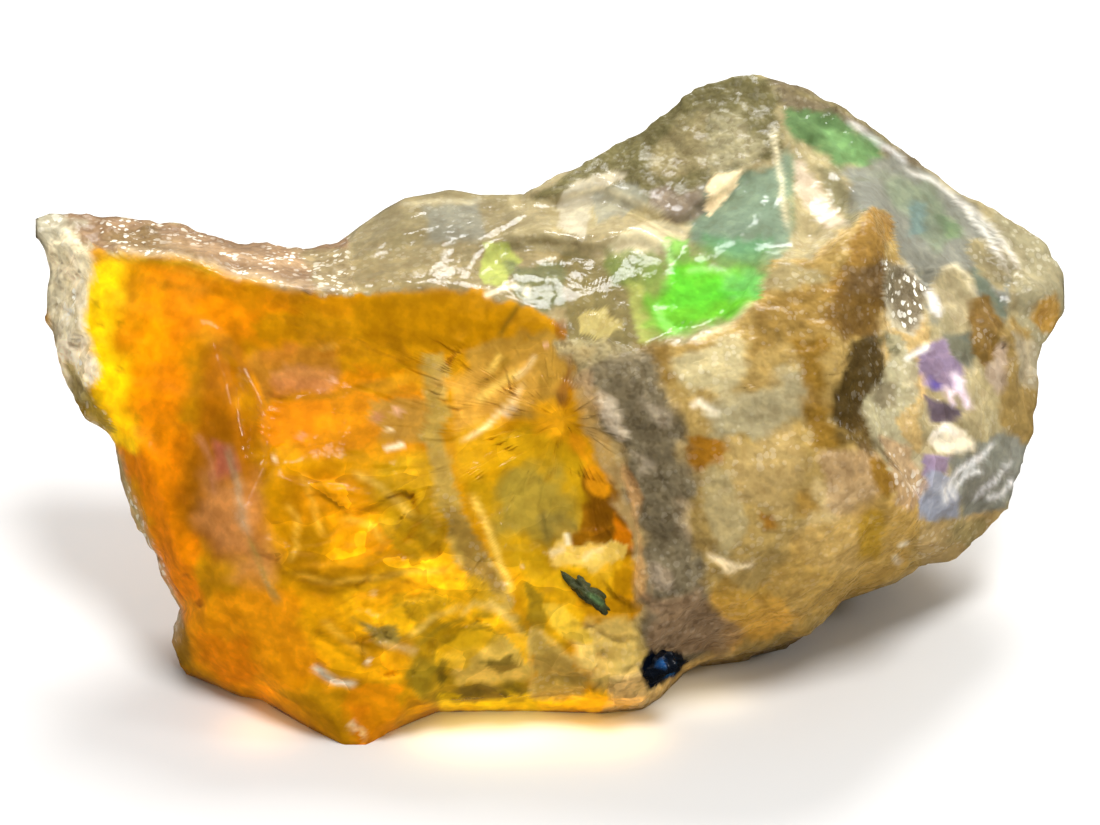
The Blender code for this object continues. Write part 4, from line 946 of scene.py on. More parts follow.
        (100, 172), (109, 182), (116, 178), (117, 164), (112, 147), (106, 140), (104, 124), (104, 107),
        (111, 96), (122, 84), (127, 60), (101, 46), (84, 33), (65, 27), (55, 36), (50, 54), (46, 74),
        (46, 94), (42, 114)]),
    "rock_cream": ("cream_rock", "milk", 0.35, 0.95, [(39, 131), (62, 138), (65, 126), (59, 118), (46, 118),
        (42, 122)]),
    "rock_grey": ("cream_rock", "warm_grey", 0.35, 0.8, [(46, 117), (69, 119), (83, 130), (86, 117),
        (79, 107), (56, 104)]),
    "rock_pale_high": ("cream_rock", "moss_grey", 0.2, 0.8, [(76, 165), (89, 161), (92, 155), (79, 153),
        (71, 155)]),
    "rock_ochre_high": ("rock", "bronze", 0.35, 0.7, [(68, 148), (83, 154), (97, 155), (95, 139), (80, 135),
        (67, 133)]),
    "rock_ochre_left": ("rock", "bronze", 0.35, 0.8, [(28, 135), (39, 136), (42, 126), (38, 119), (30, 126)]),
    "rock_ochre_spot": ("rock", "tea_brown", 0.2, 0.9, [(46, 104), (51, 104), (58, 105), (59, 100), (55, 97),
        (49, 95), (45, 93)]),
    "rock_ochre_mid": ("rock", "rock_ochre_mid", 0.35, 0.8, [(81, 135), (91, 135), (90, 117), (95, 104),
        (88, 102), (82, 117)]),
    "rock_tan_low": ("rock", "buff", 0.4, 0.9, [(49, 91), (76, 97), (96, 91), (107, 70), (84, 50), (57, 51),
        (49, 71)]),
    "rock_grey_left": ("cream_rock", "milk", 0.4, 0.6, [(49, 93), (61, 94), (64, 77), (58, 64), (51, 74)]),
    "rock_pale_low": ("cream_rock", "cream", 0.5, 0.5, [(89, 87), (101, 82), (101, 63), (91, 57), (82, 71)]),
    "rock_pale_mid": ("cream_rock", "tan", 0.6, 0.6, [(61, 104), (80, 107), (87, 94), (76, 80), (59, 84)]),
    "rock_rose": ("rock", "rose_tan", 0.3, 0.7, [(89, 100), (105, 102), (111, 90), (103, 77), (89, 81)]),
    "rock_low_right": ("rock", "sand_gold", 0.6, 0.75, [(79, 74), (109, 84), (125, 75), (124, 60), (101, 46),
        (84, 35), (69, 47)]),
    "rock_ochre_a": ("rock", "rock_ochre_mid", 0.25, 0.9, [(103, 104), (109, 96), (117, 91), (111, 85),
        (104, 94)]),
    "rock_ochre_b": ("rock", "olive", 0.3, 0.7, [(104, 78), (110, 79), (110, 63), (103, 65)]),
    "rock_ochre_c": ("rock", "lump_far_ochre", 0.3, 0.7, [(80, 86), (86, 87), (90, 81), (84, 77), (79, 79)]),
    "rock_ochre_d": ("rock", "tea_brown", 0.2, 0.8, [(69, 80), (72, 78), (73, 75), (71, 75)]),
    "rock_ochre_e": ("rock", "apricot", 0.25, 0.8, [(50, 51), (77, 52), (85, 43), (65, 32), (52, 39)]),
    "rock_ochre_f": ("rock", "ochre", 0.3, 0.7, [(54, 53), (62, 58), (72, 54), (75, 46), (64, 42), (56, 45)]),
    "rock_apex": ("rock", "rock_apex", 0.12, 1, [(107, 182), (116, 179), (116, 170), (108, 161), (97, 150),
        (92, 151), (99, 164)]),
    "rock_brown": ("rock", "rock_brown", 0.35, 0.95, [(96, 157), (111, 163), (114, 150), (109, 136),
        (97, 135), (91, 145)]),
    "rock_dark": ("rock", "ink", 0.25, 0.95, [(98, 137), (108, 140), (112, 134), (112, 123), (106, 110),
        (101, 105), (94, 107), (92, 117), (96, 127)]),
    "rock_dark_low": ("rock", "bark", 0.3, 0.8, [(94, 114), (105, 110), (111, 100), (105, 98), (94, 104)]),
    "rock_glossy_brown": ("rock", "rock_glossy_brown", 0.2, 0.7, [(99, 160), (111, 163), (113, 156),
        (108, 150), (100, 151)]),
    "crust_right": ("cream_rock", "warm_grey", 0.12, 1, [(111, 140), (118, 138), (124, 129), (123, 116),
        (115, 110), (120, 102), (126, 94), (121, 86), (112, 95), (105, 104), (103, 116), (111, 121),
        (113, 130)]),
    "crust_right_grey": ("cream_rock", "vein_grey", 0.2, 0.8, [(108, 124), (117, 122), (116, 114),
        (109, 112)]),
    "crust_right_top": ("cream_rock", "mist", 0.14, 0.9, [(111, 163), (123, 162), (127, 151), (122, 138),
        (112, 140)]),
    # Grains of the host rock with painted glints on them.
    "crystal_grains_and_glints": ("sparkle", "vein_grey", 0.2, 0.9, [(113, 163), (121, 162), (128, 154), (127, 145),
        (120, 140), (114, 147)]),
    "lump_low_rose": ("glassy_tan", "dove", 0.2, 0.8, [(153, 139), (157, 141), (156, 127), (153, 120),
        (149, 127)]),
    "dome_lilac": ("clear_dome", "grey_swirl", 0.3, 0.8, [(138, 188), (148, 183), (157, 171), (155, 167),
        (146, 177)]),
    "dome_dark": ("clear_dome", "dome_dark", 0.4, 0.4, [(120, 191), (131, 187), (136, 178), (130, 172),
        (121, 178)]),
    "grey_swirl": ("clear_dome", "grey_swirl", 0.2, 0.9, [(138, 91), (146, 95), (152, 92), (148, 83),
        (140, 82)]),
    "crust_low_rose": ("crust", "rose_tan", 0.18, 0.8, [(110, 104), (119, 101), (127, 89), (121, 77),
        (115, 84)]),
    "vein_margin": ("haze", "tan", 0.3, 0.75, [(6, 126), (13, 128), (20, 114), (26, 99), (30, 84), (32, 64),
        (33, 50), (29, 50), (27, 68), (23, 83), (16, 98), (9, 113)]),
    "vein": ("vein", "vein_grey", 0.5, 1, [(9, 128), (21, 133), (34, 130), (42, 114), (46, 94), (47, 74),
        (51, 54), (58, 36), (48, 27), (31, 34), (30, 54), (30, 73), (26, 91), (19, 107), (13, 118)]),
    "vein_beige": ("vein", "moss_grey", 0.3, 0.9, [(2, 135), (17, 137), (26, 133), (17, 128), (9, 125)]),
    "vein_rose": ("vein", "rose_tan", 0.25, 0.6, [(6, 125), (13, 127), (19, 113), (13, 114)]),
    "vein_dark_high": ("vein", "vein_grey", 0.3, 0.45, [(18, 124), (30, 126), (34, 114), (28, 105),
        (21, 110)]),
    "vein_pale_edge": ("vein", "shell_pink", 0.12, 0.7, [(16, 119), (21, 116), (27, 104), (23, 101),
        (18, 110)]),
    "vein_clump_a": ("vein", "vein_dark", 0.22, 0.4, [(19, 122), (25, 124), (30, 119), (26, 114), (21, 116)]),
    "vein_clump_b": ("vein", "vein_dark", 0.22, 0.4, [(27, 109), (34, 111), (38, 105), (32, 101), (27, 104)]),
    "vein_clump_c": ("vein", "vein_dark", 0.22, 0.4, [(33, 97), (40, 98), (43, 90), (38, 84), (32, 89)]),
    "vein_clump_d": ("vein", "vein_dark", 0.22, 0.4, [(34, 75), (40, 76), (42, 68), (36, 64), (32, 68)]),
    "vein_clump_e": ("vein", "vein_dark", 0.22, 0.4, [(36, 54), (44, 56), (48, 49), (42, 43), (36, 48)]),
    "vein_pale_a": ("vein", "shell_pink", 0.3, 0.35, [(30, 118), (35, 116), (38, 109), (33, 110)]),
    "vein_pale_b": ("vein", "shell_pink", 0.3, 0.35, [(28, 99), (32, 100), (34, 94), (30, 92)]),
    "vein_pale_c": ("vein", "oat", 0.3, 0.35, [(42, 84), (46, 81), (46, 71), (42, 74)]),
    "vein_pale_d": ("vein", "dove", 0.3, 0.35, [(33, 62), (39, 62), (39, 55), (34, 56)]),
    "vein_dark_mid": ("vein", "vein_dark", 0.3, 0.4, [(30, 84), (43, 81), (43, 64), (32, 66)]),
    "vein_orange_edge": ("vein", "vein_orange_edge", 0.25, 0.7, [(23, 97), (27, 91), (31, 73), (32, 51),
        (28, 51), (28, 71)]),
    "vein_violet_low": ("vein", "vein_violet_low", 0.4, 0.8, [(32, 51), (50, 53), (66, 40), (57, 30),
        (34, 33)]),
    "vein_tan_foot": ("vein", "vein_tan_foot", 0.2, 0.8, [(21, 24), (30, 26), (51, 27), (46, 23), (31, 14),
        (21, 14)]),
    "navy": ("navy", "navy", 0.1, 1, [(30, 28), (34, 33), (42, 32), (46, 28), (40, 21), (33, 20)]),
    "navy_blue": ("navy", "blue", 0.08, 0.8, [(38, 30), (43, 29), (42, 23), (38, 24)]),
}
print("patches in front:", len(PATCHES))

# %% [markdown]
# ## Strokes
# Broken edges catch the light, and that light is painted as thin bright lines with the glint finish:
# painted highlights. Strokes with the sparkle finish lay painted glints as white flecks. Cracks show as thin
# dark ones. A stroke says its finish, paint, half width in millimetres, strength and line.

# %% Strokes
STROKES = {
    # Painted glints: white flecks along the ledge, on the left end, the horn and the rim.
    "ledge_glint_flecks_a": ("sparkle", "oat", 0.16, 0.6, [(-15.35, 17.1), (-13.95, 16.65), (-12.4, 16.55),
        (-10.8, 15.95), (-8.6, 15.5), (-7.3, 15.45)]),
    "ledge_glint_flecks_b": ("sparkle", "pink_beige", 0.2, 0.55, [(-13.55, 17.15), (-11.8, 16.85), (-9.7, 16.3),
        (-7.7, 16.1)]),
    "left_glint_flecks": ("sparkle", "bone", 0.2, 0.9, [(-16.55, 17.25), (-16.2, 16.05), (-15.95, 14.35),
        (-15.8, 13.15), (-15.6, 12)]),
    "horn_glint_flecks": ("sparkle", "mist", 0.14, 0.8, [(-17.15, 17.7), (-16.65, 17.7), (-15.65, 17.65)]),
    "rim_glint_flecks": ("sparkle", "oat", 0.12, 0.9, [(-15.45, 11), (-14.65, 9.8), (-14.05, 8.15), (-13.5, 6.75),
        (-12.8, 5.25)]),
    "ledge_line": ("haze", "vein_tan_foot", 0.07, 0.5, [(-15.5, 16.65), (-14.5, 16.55), (-12.4, 16.45),
        (-11.3, 16.1), (-10.75, 15.8), (-9.5, 15.55), (-8.1, 15.3)]),
    # Painted highlight along the left end.
    "left_end_highlight": ("glint", "pearl", 0.12, 0.8, [(-16.4, 17.1), (-16, 16.05), (-15.8, 14.35), (-15.65, 13),
        (-15.35, 12.35)]),
    "rim_crust": ("crust", "oat", 0.2, 0.9, [(-16.25, 11.55), (-15, 10.25), (-14.45, 8.85), (-13.85, 7.2),
        (-13.2, 5.55), (-12.65, 4.45), (-12.8, 3.5), (-12.7, 2.95)]),
    "rim_crust_olive": ("crust", "left_end_olive", 0.12, 0.6, [(-14.8, 10.1), (-14.25, 8.65),
        (-13.65, 6.65)]),
    "lobe_edge": ("amber", "brown_amber", 0.12, 0.6, [(-10.7, 13.6), (-9.95, 12.4), (-9.55, 11),
        (-9.35, 9.6)]),
    "lobe_edge_lit": ("amber", "orange_under_vein", 0.09, 0.7, [(-10, 12.65), (-9.6, 11.65), (-9.35, 10.35)]),
    "lobe_streak_a": ("haze", "rose_tan", 0.14, 0.9, [(-10.65, 10.35), (-10.35, 9), (-10.15, 7.7),
        (-9.9, 7.05)]),
    "lobe_streak_b": ("haze", "sand_gold", 0.1, 0.9, [(-10.05, 7.35), (-9.65, 6.35), (-9.2, 5.35),
        (-8.9, 4.85)]),
    "rose_line_a": ("haze", "rose_copper", 0.08, 0.6, [(-11.75, 10.65), (-11.25, 9.7), (-11.1, 8.35)]),
    # Painted highlights: the pale lines of the fan, with the glint finish. The two amber strokes are colour.
    "fan_highlight_a": ("glint", "butter", 0.13, 0.9, [(-2.55, 11.55), (-1.8, 12.15), (-0.8, 12.75)]),
    "fan_highlight_b": ("glint", "straw", 0.1, 0.95, [(-3.1, 10.25), (-2.15, 10.75), (-1.2, 11.65), (-0.75, 12.4)]),
    "fan_highlight_c": ("glint", "oat", 0.12, 0.8, [(-1.6, 11), (-1, 11.6)]),
    "fan_highlight_d": ("glint", "butter", 0.1, 0.8, [(-2.1, 12.5), (-1.55, 13.25)]),
    "fan_e": ("amber", "apricot", 0.22, 0.7, [(-3.6, 12.05), (-2.25, 12.5)]),
    "fan_highlight_f": ("glint", "cream", 0.07, 0.7, [(-1.25, 12.3), (-0.7, 12.8), (-0.45, 13.25)]),
    "fan_g": ("amber", "facet_amber_g", 0.08, 0.6, [(-2.65, 11.95), (-1.65, 12.6), (-1.25, 13.3)]),
    "recess_glint_a": ("glint", "warm_white", 0.09, 1, [(-5.5, 10), (-4.75, 10.25)]),
    "recess_glint_b": ("glint", "peach", 0.12, 0.8, [(-5.25, 11.4), (-4.85, 11.15)]),
    "recess_glint_c": ("glint", "shell_cream", 0.09, 0.8, [(-5.45, 10.6), (-5.25, 10.75)]),
    "recess_glint_d": ("glint", "rose_copper", 0.1, 0.9, [(-8.35, 10.35), (-8.05, 10.65)]),
    "recess_glint_e": ("glint", "shell_cream", 0.08, 1, [(-9.2, 9.75), (-9, 9.7)]),
    "recess_glint_f": ("glint", "peach", 0.07, 0.9, [(-7.3, 12.45), (-7.1, 12.3)]),
    "recess_gleam": ("haze", "rose_copper", 0.2, 0.7, [(-5.9, 11.25), (-5.6, 11)]),
    "recess_line_a": ("amber", "apricot", 0.07, 0.6, [(-7.7, 13.35), (-7, 13.55)]),
    "recess_line_b": ("amber", "brown_amber", 0.08, 0.6, [(-7.8, 13.15), (-6.8, 13.35)]),
    "recess_fold": ("amber", "rust_ochre", 0.12, 0.6, [(-9.4, 11.6), (-7.3, 11.8), (-5, 12.4)]),
    "recess_fold_low": ("amber", "olive_gold", 0.1, 0.5, [(-5.8, 11.8), (-3.95, 12.1), (-3.25, 12.3)]),
    "fold_a": ("amber", "rust_ochre", 0.1, 0.7, [(-9.35, 5.95), (-7.6, 5.9), (-6.6, 5.6), (-4.95, 5.9),
        (-3.95, 6.4)]),
    "fold_b": ("amber", "marigold", 0.12, 0.6, [(-8.6, 6.2), (-6.95, 6.2), (-5.6, 6.4)]),
    "fold_c": ("amber", "olive_gold", 0.09, 0.6, [(-8.25, 6.35), (-7.25, 7.35), (-7.6, 8.35)]),
    "fold_d": ("amber", "dendrite_gold", 0.09, 0.6, [(-5.45, 7.45), (-4.6, 7.05), (-3.95, 6.4)]),
    "fold_e": ("amber", "olive_gold", 0.1, 0.6, [(-5, 6.8), (-4.3, 7.7), (-4.55, 8.7)]),
    "fold_f": ("haze", "facet_amber_n", 0.08, 0.7, [(-4.4, 7.85), (-4.1, 7.6), (-3.8, 7.2)]),
    "fold_g": ("amber", "marigold", 0.1, 0.6, [(-6.6, 5.05), (-4.95, 5.55), (-3.3, 6)]),
    "fold_h": ("amber", "rust_ochre", 0.1, 0.6, [(-6.8, 3.7), (-5.3, 3.45), (-4.3, 3.75)]),
    "fold_i": ("haze", "vein_tan_foot", 0.08, 0.7, [(-5.75, 3.75), (-4.95, 3.45), (-4.3, 3.25)]),
    "gold_line_a": ("amber", "lemon_gold", 0.08, 0.7, [(-5.6, 6.2), (-4.3, 6), (-3.1, 6.15)]),
    "band_lit_right": ("glint", "butter", 0.08, 0.9, [(-2.65, 8.75), (-2.3, 8), (-1.9, 7.05), (-1.45, 5.85),
        (-1.25, 5.15)]),
    "band_lit_left": ("amber", "gold", 0.1, 0.7, [(-3.9, 8.35), (-3.6, 7.4)]),
    "band_lit_foot": ("glint", "pale_gold", 0.08, 0.8, [(-2.1, 5.1), (-1.65, 4.7), (-1, 4.35)]),
    "band_top_lit": ("haze", "vein_tan_foot", 0.1, 0.7, [(-3.75, 13), (-3.65, 12.2), (-3.75, 11.65)]),
    # Painted highlights near the tip.
    "white_highlight_streak": ("glint", "pearl", 0.1, 1, [(-7.95, 2.85), (-7.45, 2.55), (-7, 2.3), (-6.35, 2.2)]),
    "glint_gold_a": ("glint", "shell_cream", 0.08, 0.9, [(-6.15, 3.1), (-5.9, 2.95)]),
    "glint_gold_b": ("glint", "straw", 0.05, 0.8, [(-5.95, 5.3), (-5.7, 5.3)]),
    "tip_glint_a": ("glint", "shell_cream", 0.06, 0.9, [(-6.65, 0.75), (-6.45, 0.4)]),
    "tip_glint_b": ("glint", "straw", 0.06, 0.9, [(-6.35, 0.35), (-6.1, 0.5)]),
    "pale_facet_lit_a": ("glint", "warm_white", 0.08, 1, [(0.55, 7.3), (0.6, 6.8)]),
    "pale_facet_lit_b": ("glint", "cream", 0.09, 1, [(-0.05, 6.6), (0.55, 6.8)]),
    "pale_facet_lit_c": ("glint", "straw", 0.08, 0.9, [(1, 6.3), (1.4, 6.65), (1.85, 6.8)]),
    "crack": ("amber", "umber", 0.045, 0.9, [(-0.85, 15.1), (-1.1, 14.65), (-1.5, 14.1), (-1.8, 13.6)]),
    "crack_lit": ("glint", "warm_white", 0.05, 1, [(-0.75, 15.45), (-0.85, 15.05)]),
    "boundary_lit": ("glint", "pearl", 0.06, 1, [(-2.25, 15.05), (-1.65, 15.3), (-1, 15.5)]),
    "red_glint": ("glint", "peach", 0.06, 0.8, [(-0.25, 13.45), (0, 13.5)]),
    "hump_foot_line": ("milky", "moss_grey", 0.12, 0.5, [(-6.25, 15.25), (-4.5, 15.4), (-2.65, 15.4)]),
    "hump_line_a": ("milky", "bone", 0.1, 0.6, [(-5.25, 18.25), (-3.75, 18.45), (-2.05, 18.4)]),
    "hump_line_b": ("milky", "moss_grey", 0.08, 0.5, [(-5.6, 18.05), (-6, 17.5), (-6.7, 16.95)]),
    "peak_edge_dark": ("peak", "dull_olive", 0.08, 0.7, [(-0.5, 18.55), (1.7, 19.85), (3.25, 20.9),
        (4.3, 21.7), (5.3, 22.35), (6.35, 22.65), (6.95, 22.8)]),
    "peak_edge_right": ("peak", "beige_mid", 0.1, 0.6, [(7.9, 22.5), (10, 21.75), (11.4, 20.85),
        (12.4, 20.1)]),
    # Painted highlights along the foot of the peak and along its ridge.
    "peak_foot_highlight": ("glint", "warm_white", 0.06, 0.7, [(0.2, 18.5), (1.7, 18.9), (3.05, 18.3),
        (4.25, 17.7)]),
    "ridge_highlight": ("glint", "warm_white", 0.06, 0.9, [(7.5, 21.2), (7.75, 19.8), (7.85, 18.4), (8, 17.15)]),
    "ridge_line_green": ("milky", "pale_teal", 0.1, 0.7, [(8.25, 20.2), (8.1, 18.4), (8.2, 17.2)]),
    # Painted highlights along the dome's edge, and one on the olive disc below it.
    "dome_highlight": ("glint", "white", 0.07, 0.85, [(11.9, 19.75), (13.15, 19.35), (14.25, 18.45),
        (15.05, 17.5), (15.65, 16.45), (15.85, 15.75)]),
    "dome_highlight_b": ("glint", "cool_white", 0.06, 0.7, [(10.05, 21.4), (11.35, 20.55), (12.5, 19.7)]),
    "dome_highlight_line": ("glint", "white", 0.09, 1, [(12.65, 15.4), (12.9, 15), (12.95, 14.5)]),
    "scarp_lit": ("glint", "shell_cream", 0.06, 0.6, [(4.6, 13.65), (6, 14.2), (6.85, 15.1)]),
    # Painted highlights on the purple patch and the cream facet.
    "purple_highlight_a": ("glint", "lilac_white", 0.16, 1, [(13.6, 12.7), (13.9, 12), (14.2, 11.25)]),
    "purple_highlight_b": ("glint", "lilac_white", 0.09, 0.9, [(13.25, 12.2), (13.65, 11.35)]),
    "purple_highlight_c": ("glint", "white", 0.1, 0.9, [(11.85, 12.95), (12.3, 13.3), (12.8, 13.55)]),
    "cream_lit": ("glint", "white", 0.08, 0.8, [(12.65, 10.4), (13.3, 10.75), (13.85, 10.45)]),
    # Painted highlights on the milky swirl.
    "milk_highlight_a": ("glint", "cool_white", 0.12, 1, [(14.85, 10), (13.8, 9.25), (13.25, 8.6),
        (13.35, 7.95)]),
    "milk_highlight_b": ("glint", "cool_white", 0.09, 0.9, [(16.05, 9), (15.4, 8.45), (14.8, 8.25)]),
    "milk_highlight_c": ("glint", "cool_white", 0.07, 0.8, [(15.2, 10.3), (14.4, 9.6), (13.9, 8.95)]),
    "scarp_shadow": ("rock", "bark", 0.09, 0.8, [(10.35, 12.6), (10.2, 11.55), (10.45, 10.65), (11.1, 9.8),
        (11.65, 9.25), (11.9, 9)]),
    "rock_glint_a": ("glint", "pearl", 0.07, 1, [(4.6, 11.4), (4.9, 11.6), (5.45, 11.25), (5.7, 11.35)]),
    "rock_glint_b": ("glint", "warm_white", 0.06, 0.9, [(5.05, 11.2), (5.65, 11.2)]),
    "rock_glint_c": ("glint", "shell_cream", 0.08, 1, [(5.05, 6.65), (5.55, 6.4), (6.15, 6.2), (6.8, 6.25)]),
    "rock_glint_d": ("glint", "shell_cream", 0.07, 0.9, [(5.45, 6.55), (5.85, 6), (6.2, 6.1)]),
    "rock_glint_e": ("glint", "pearl", 0.07, 0.9, [(11.65, 6.75), (12.1, 6.85)]),
    "rock_glint_f": ("glint", "pearl", 0.06, 0.8, [(11.55, 6.45), (12.05, 6)]),
    "crust_specks_a": ("rock", "vein_dark", 0.06, 0.8, [(10.5, 13.65), (10.85, 13.8), (11.15, 13.45)]),
    "crust_specks_b": ("rock", "vein_dark", 0.05, 0.8, [(10.35, 12.8), (10.5, 12.45)]),
    # The strokes with the glint finish are painted highlights on the edges of the folds; the amber ones are
    # darker lines.
    "fold_highlight_j": ("glint", "gold", 0.05, 0.8, [(-8.8, 6), (-7.25, 5.6), (-5.85, 5.8), (-4.3, 6), (-2.9, 6)]),
    "fold_k": ("amber", "rust_ochre", 0.05, 0.8, [(-8.8, 5.7), (-7.25, 5.3), (-5.75, 5.5)]),
    "fold_highlight_l": ("glint", "gold", 0.05, 0.7, [(-7.6, 4.5), (-6.75, 3.7), (-5.9, 3.2)]),
    "fold_m": ("amber", "rust_ochre", 0.06, 0.8, [(-7.9, 4.25), (-6.95, 3.4), (-6.1, 2.9)]),
    "fold_highlight_n": ("glint", "butter", 0.05, 0.7, [(-4.8, 3.75), (-3.95, 4.45), (-2.75, 4.9)]),
    "fold_o": ("amber", "smoky_khaki", 0.05, 0.8, [(-4.55, 3.4), (-3.75, 4.05), (-2.65, 4.5)]),
    "fold_highlight_p": ("glint", "pale_gold", 0.05, 0.8, [(-3.1, 4.4), (-2.5, 4.95), (-1.65, 4.7), (-0.75, 3.75)]),
    "fold_highlight_q": ("glint", "pale_gold", 0.05, 0.7, [(-0.65, 4.15), (-0.65, 3.05), (-0.65, 1.65)]),
    "fold_r": ("haze", "pale_gold", 0.06, 0.8, [(-0.6, 4.2), (0.35, 3.4), (1.35, 2.25)]),
    "fold_highlight_s": ("glint", "gold", 0.05, 0.7, [(-6.95, 7.85), (-5.9, 7.5), (-5.3, 6.8)]),
    "fold_highlight_t": ("glint", "gold", 0.05, 0.7, [(-8.25, 9.35), (-7.85, 8.35), (-7.45, 7.05)]),
    "fold_u": ("amber", "rust_ochre", 0.06, 0.7, [(-7.85, 9.35), (-7.25, 8.35), (-6.6, 7.95)]),
    "fold_highlight_v": ("glint", "butter", 0.05, 0.7, [(-6.6, 9.35), (-5.5, 8.8), (-4.4, 7.7)]),
    "neon_streak_a": ("painted_glow", "leaf", 0.08, 0.7, [(4.45, 15.95), (5.4, 16.05), (6.2, 15.85)]),
    "neon_streak_b": ("painted_glow", "spring_green", 0.08, 0.7, [(4.65, 15), (5.65, 15.2), (6.7, 15.25)]),
    "neon_streak_c": ("painted_glow", "lime", 0.07, 0.8, [(3.75, 17.1), (3.95, 16.5), (4.15, 16.05)]),
    "neon_streak_d": ("painted_glow", "leaf", 0.09, 0.7, [(3.5, 15), (3.75, 14.25), (4.3, 13.85)]),
    # Painted highlights: a scallop in the amber, the dome's edge, a white spot, swirls, a ring round a lump
    # and lilac lines.
    "scallop_highlight": ("glint", "gold", 0.06, 0.8, [(-8.8, 8.35), (-8.4, 7.7), (-8.35, 6.85), (-8.7, 6.2)]),
    "dome_highlight_c": ("glint", "white", 0.05, 0.8, [(14.05, 18.75), (14.9, 18.1), (15.55, 17.3), (16.1, 16.45),
        (16.25, 15.95)]),
    "white_highlight_spot": ("glint", "cool_white", 0.08, 1, [(12.75, 15.45), (13, 15.15), (13.1, 14.8),
        (13.1, 14.35)]),
    "swirl_highlight_a": ("glint", "cool_white", 0.07, 1, [(14.8, 9.35), (14.05, 9.05), (13.55, 8.55), (13.75, 8.15)]),
    "swirl_highlight_b": ("glint", "cool_white", 0.06, 0.9, [(15.9, 9.7), (15.35, 9), (14.75, 8.55), (14.25, 8.15)]),
    "lump_highlight_ring": ("glint", "warm_white", 0.05, 0.8, [(13.25, 16.05), (13.85, 16.25), (14.3, 15.85),
        (14.5, 15.25)]),
    "lilac_highlight_lines": ("glint", "lilac_white", 0.07, 0.9, [(13.45, 11.75), (13.85, 12.2), (14.05, 12.4)]),
    "moss_a": ("rock", "mineral_green", 0.05, 0.9, [(10.85, 13.55), (11.15, 13.8), (11.45, 13.55)]),
    "moss_b": ("rock", "mineral_green", 0.05, 0.9, [(11.2, 13.25), (11.5, 13.45), (11.65, 13.15)]),
    "dark_fleck_a": ("amber", "facet_amber_g", 0.05, 0.8, [(-15.3, 15.05), (-15.1, 14.85)]),
    "dark_fleck_b": ("amber", "facet_amber_g", 0.05, 0.8, [(-14.55, 14.2), (-14.25, 14.35)]),
    "dark_fleck_c": ("amber", "tea_brown", 0.05, 0.8, [(-14.65, 12.6), (-14.25, 12.8)]),
    "dark_fleck_d": ("amber", "tea_brown", 0.05, 0.7, [(-15.1, 14.3), (-14.95, 14.1)]),
    "orange_band_a": ("amber", "amber_orange", 0.14, 0.7, [(-13.4, 15.6), (-11.65, 15.35), (-9.95, 15.05)]),
    "orange_band_b": ("amber", "orange_under_vein", 0.1, 0.7, [(-14.1, 16.3), (-12.35, 16), (-10.65, 15.6)]),
    "under_ledge": ("amber", "old_gold", 0.1, 0.8, [(-15.3, 16.5), (-13.75, 16.35), (-12, 16.2),
        (-10.75, 15.65)]),
    "speck_a": ("rock", "ink", 0.05, 0.9, [(2.4, 2.65), (2.95, 2.95)]),
    "speck_b": ("rock", "ink", 0.05, 0.9, [(1.35, 1.95), (1.75, 2.4)]),
    "speck_c": ("rock", "bark", 0.05, 0.8, [(1.7, 3.45), (1.8, 3.2)]),
    "speck_d": ("amber", "umber", 0.06, 0.7, [(-3.3, 1.7), (-2.95, 1.55)]),
    "speck_e": ("amber", "umber", 0.05, 0.7, [(-1.75, 2), (-1.3, 1.6), (-0.75, 1.65)]),
    "speck_f": ("amber", "dark_brown", 0.05, 0.9, [(-11.8, 5), (-11.65, 4.75)]),
    "speck_g": ("amber", "dark_brown", 0.05, 0.8, [(-12.25, 5.9), (-12.05, 5.7)]),
    "speck_h": ("crust", "ink", 0.05, 0.9, [(-13.25, 6.4), (-13.2, 6.2)]),
    "speck_i": ("crust", "bark", 0.05, 0.8, [(-15.4, 11.75), (-15.2, 11.45)]),
}
print("strokes:", len(STROKES))

# %% [markdown]
# ## Patches behind
# The back is one soft break: amber at its left, milky above, and host rock low on the right.

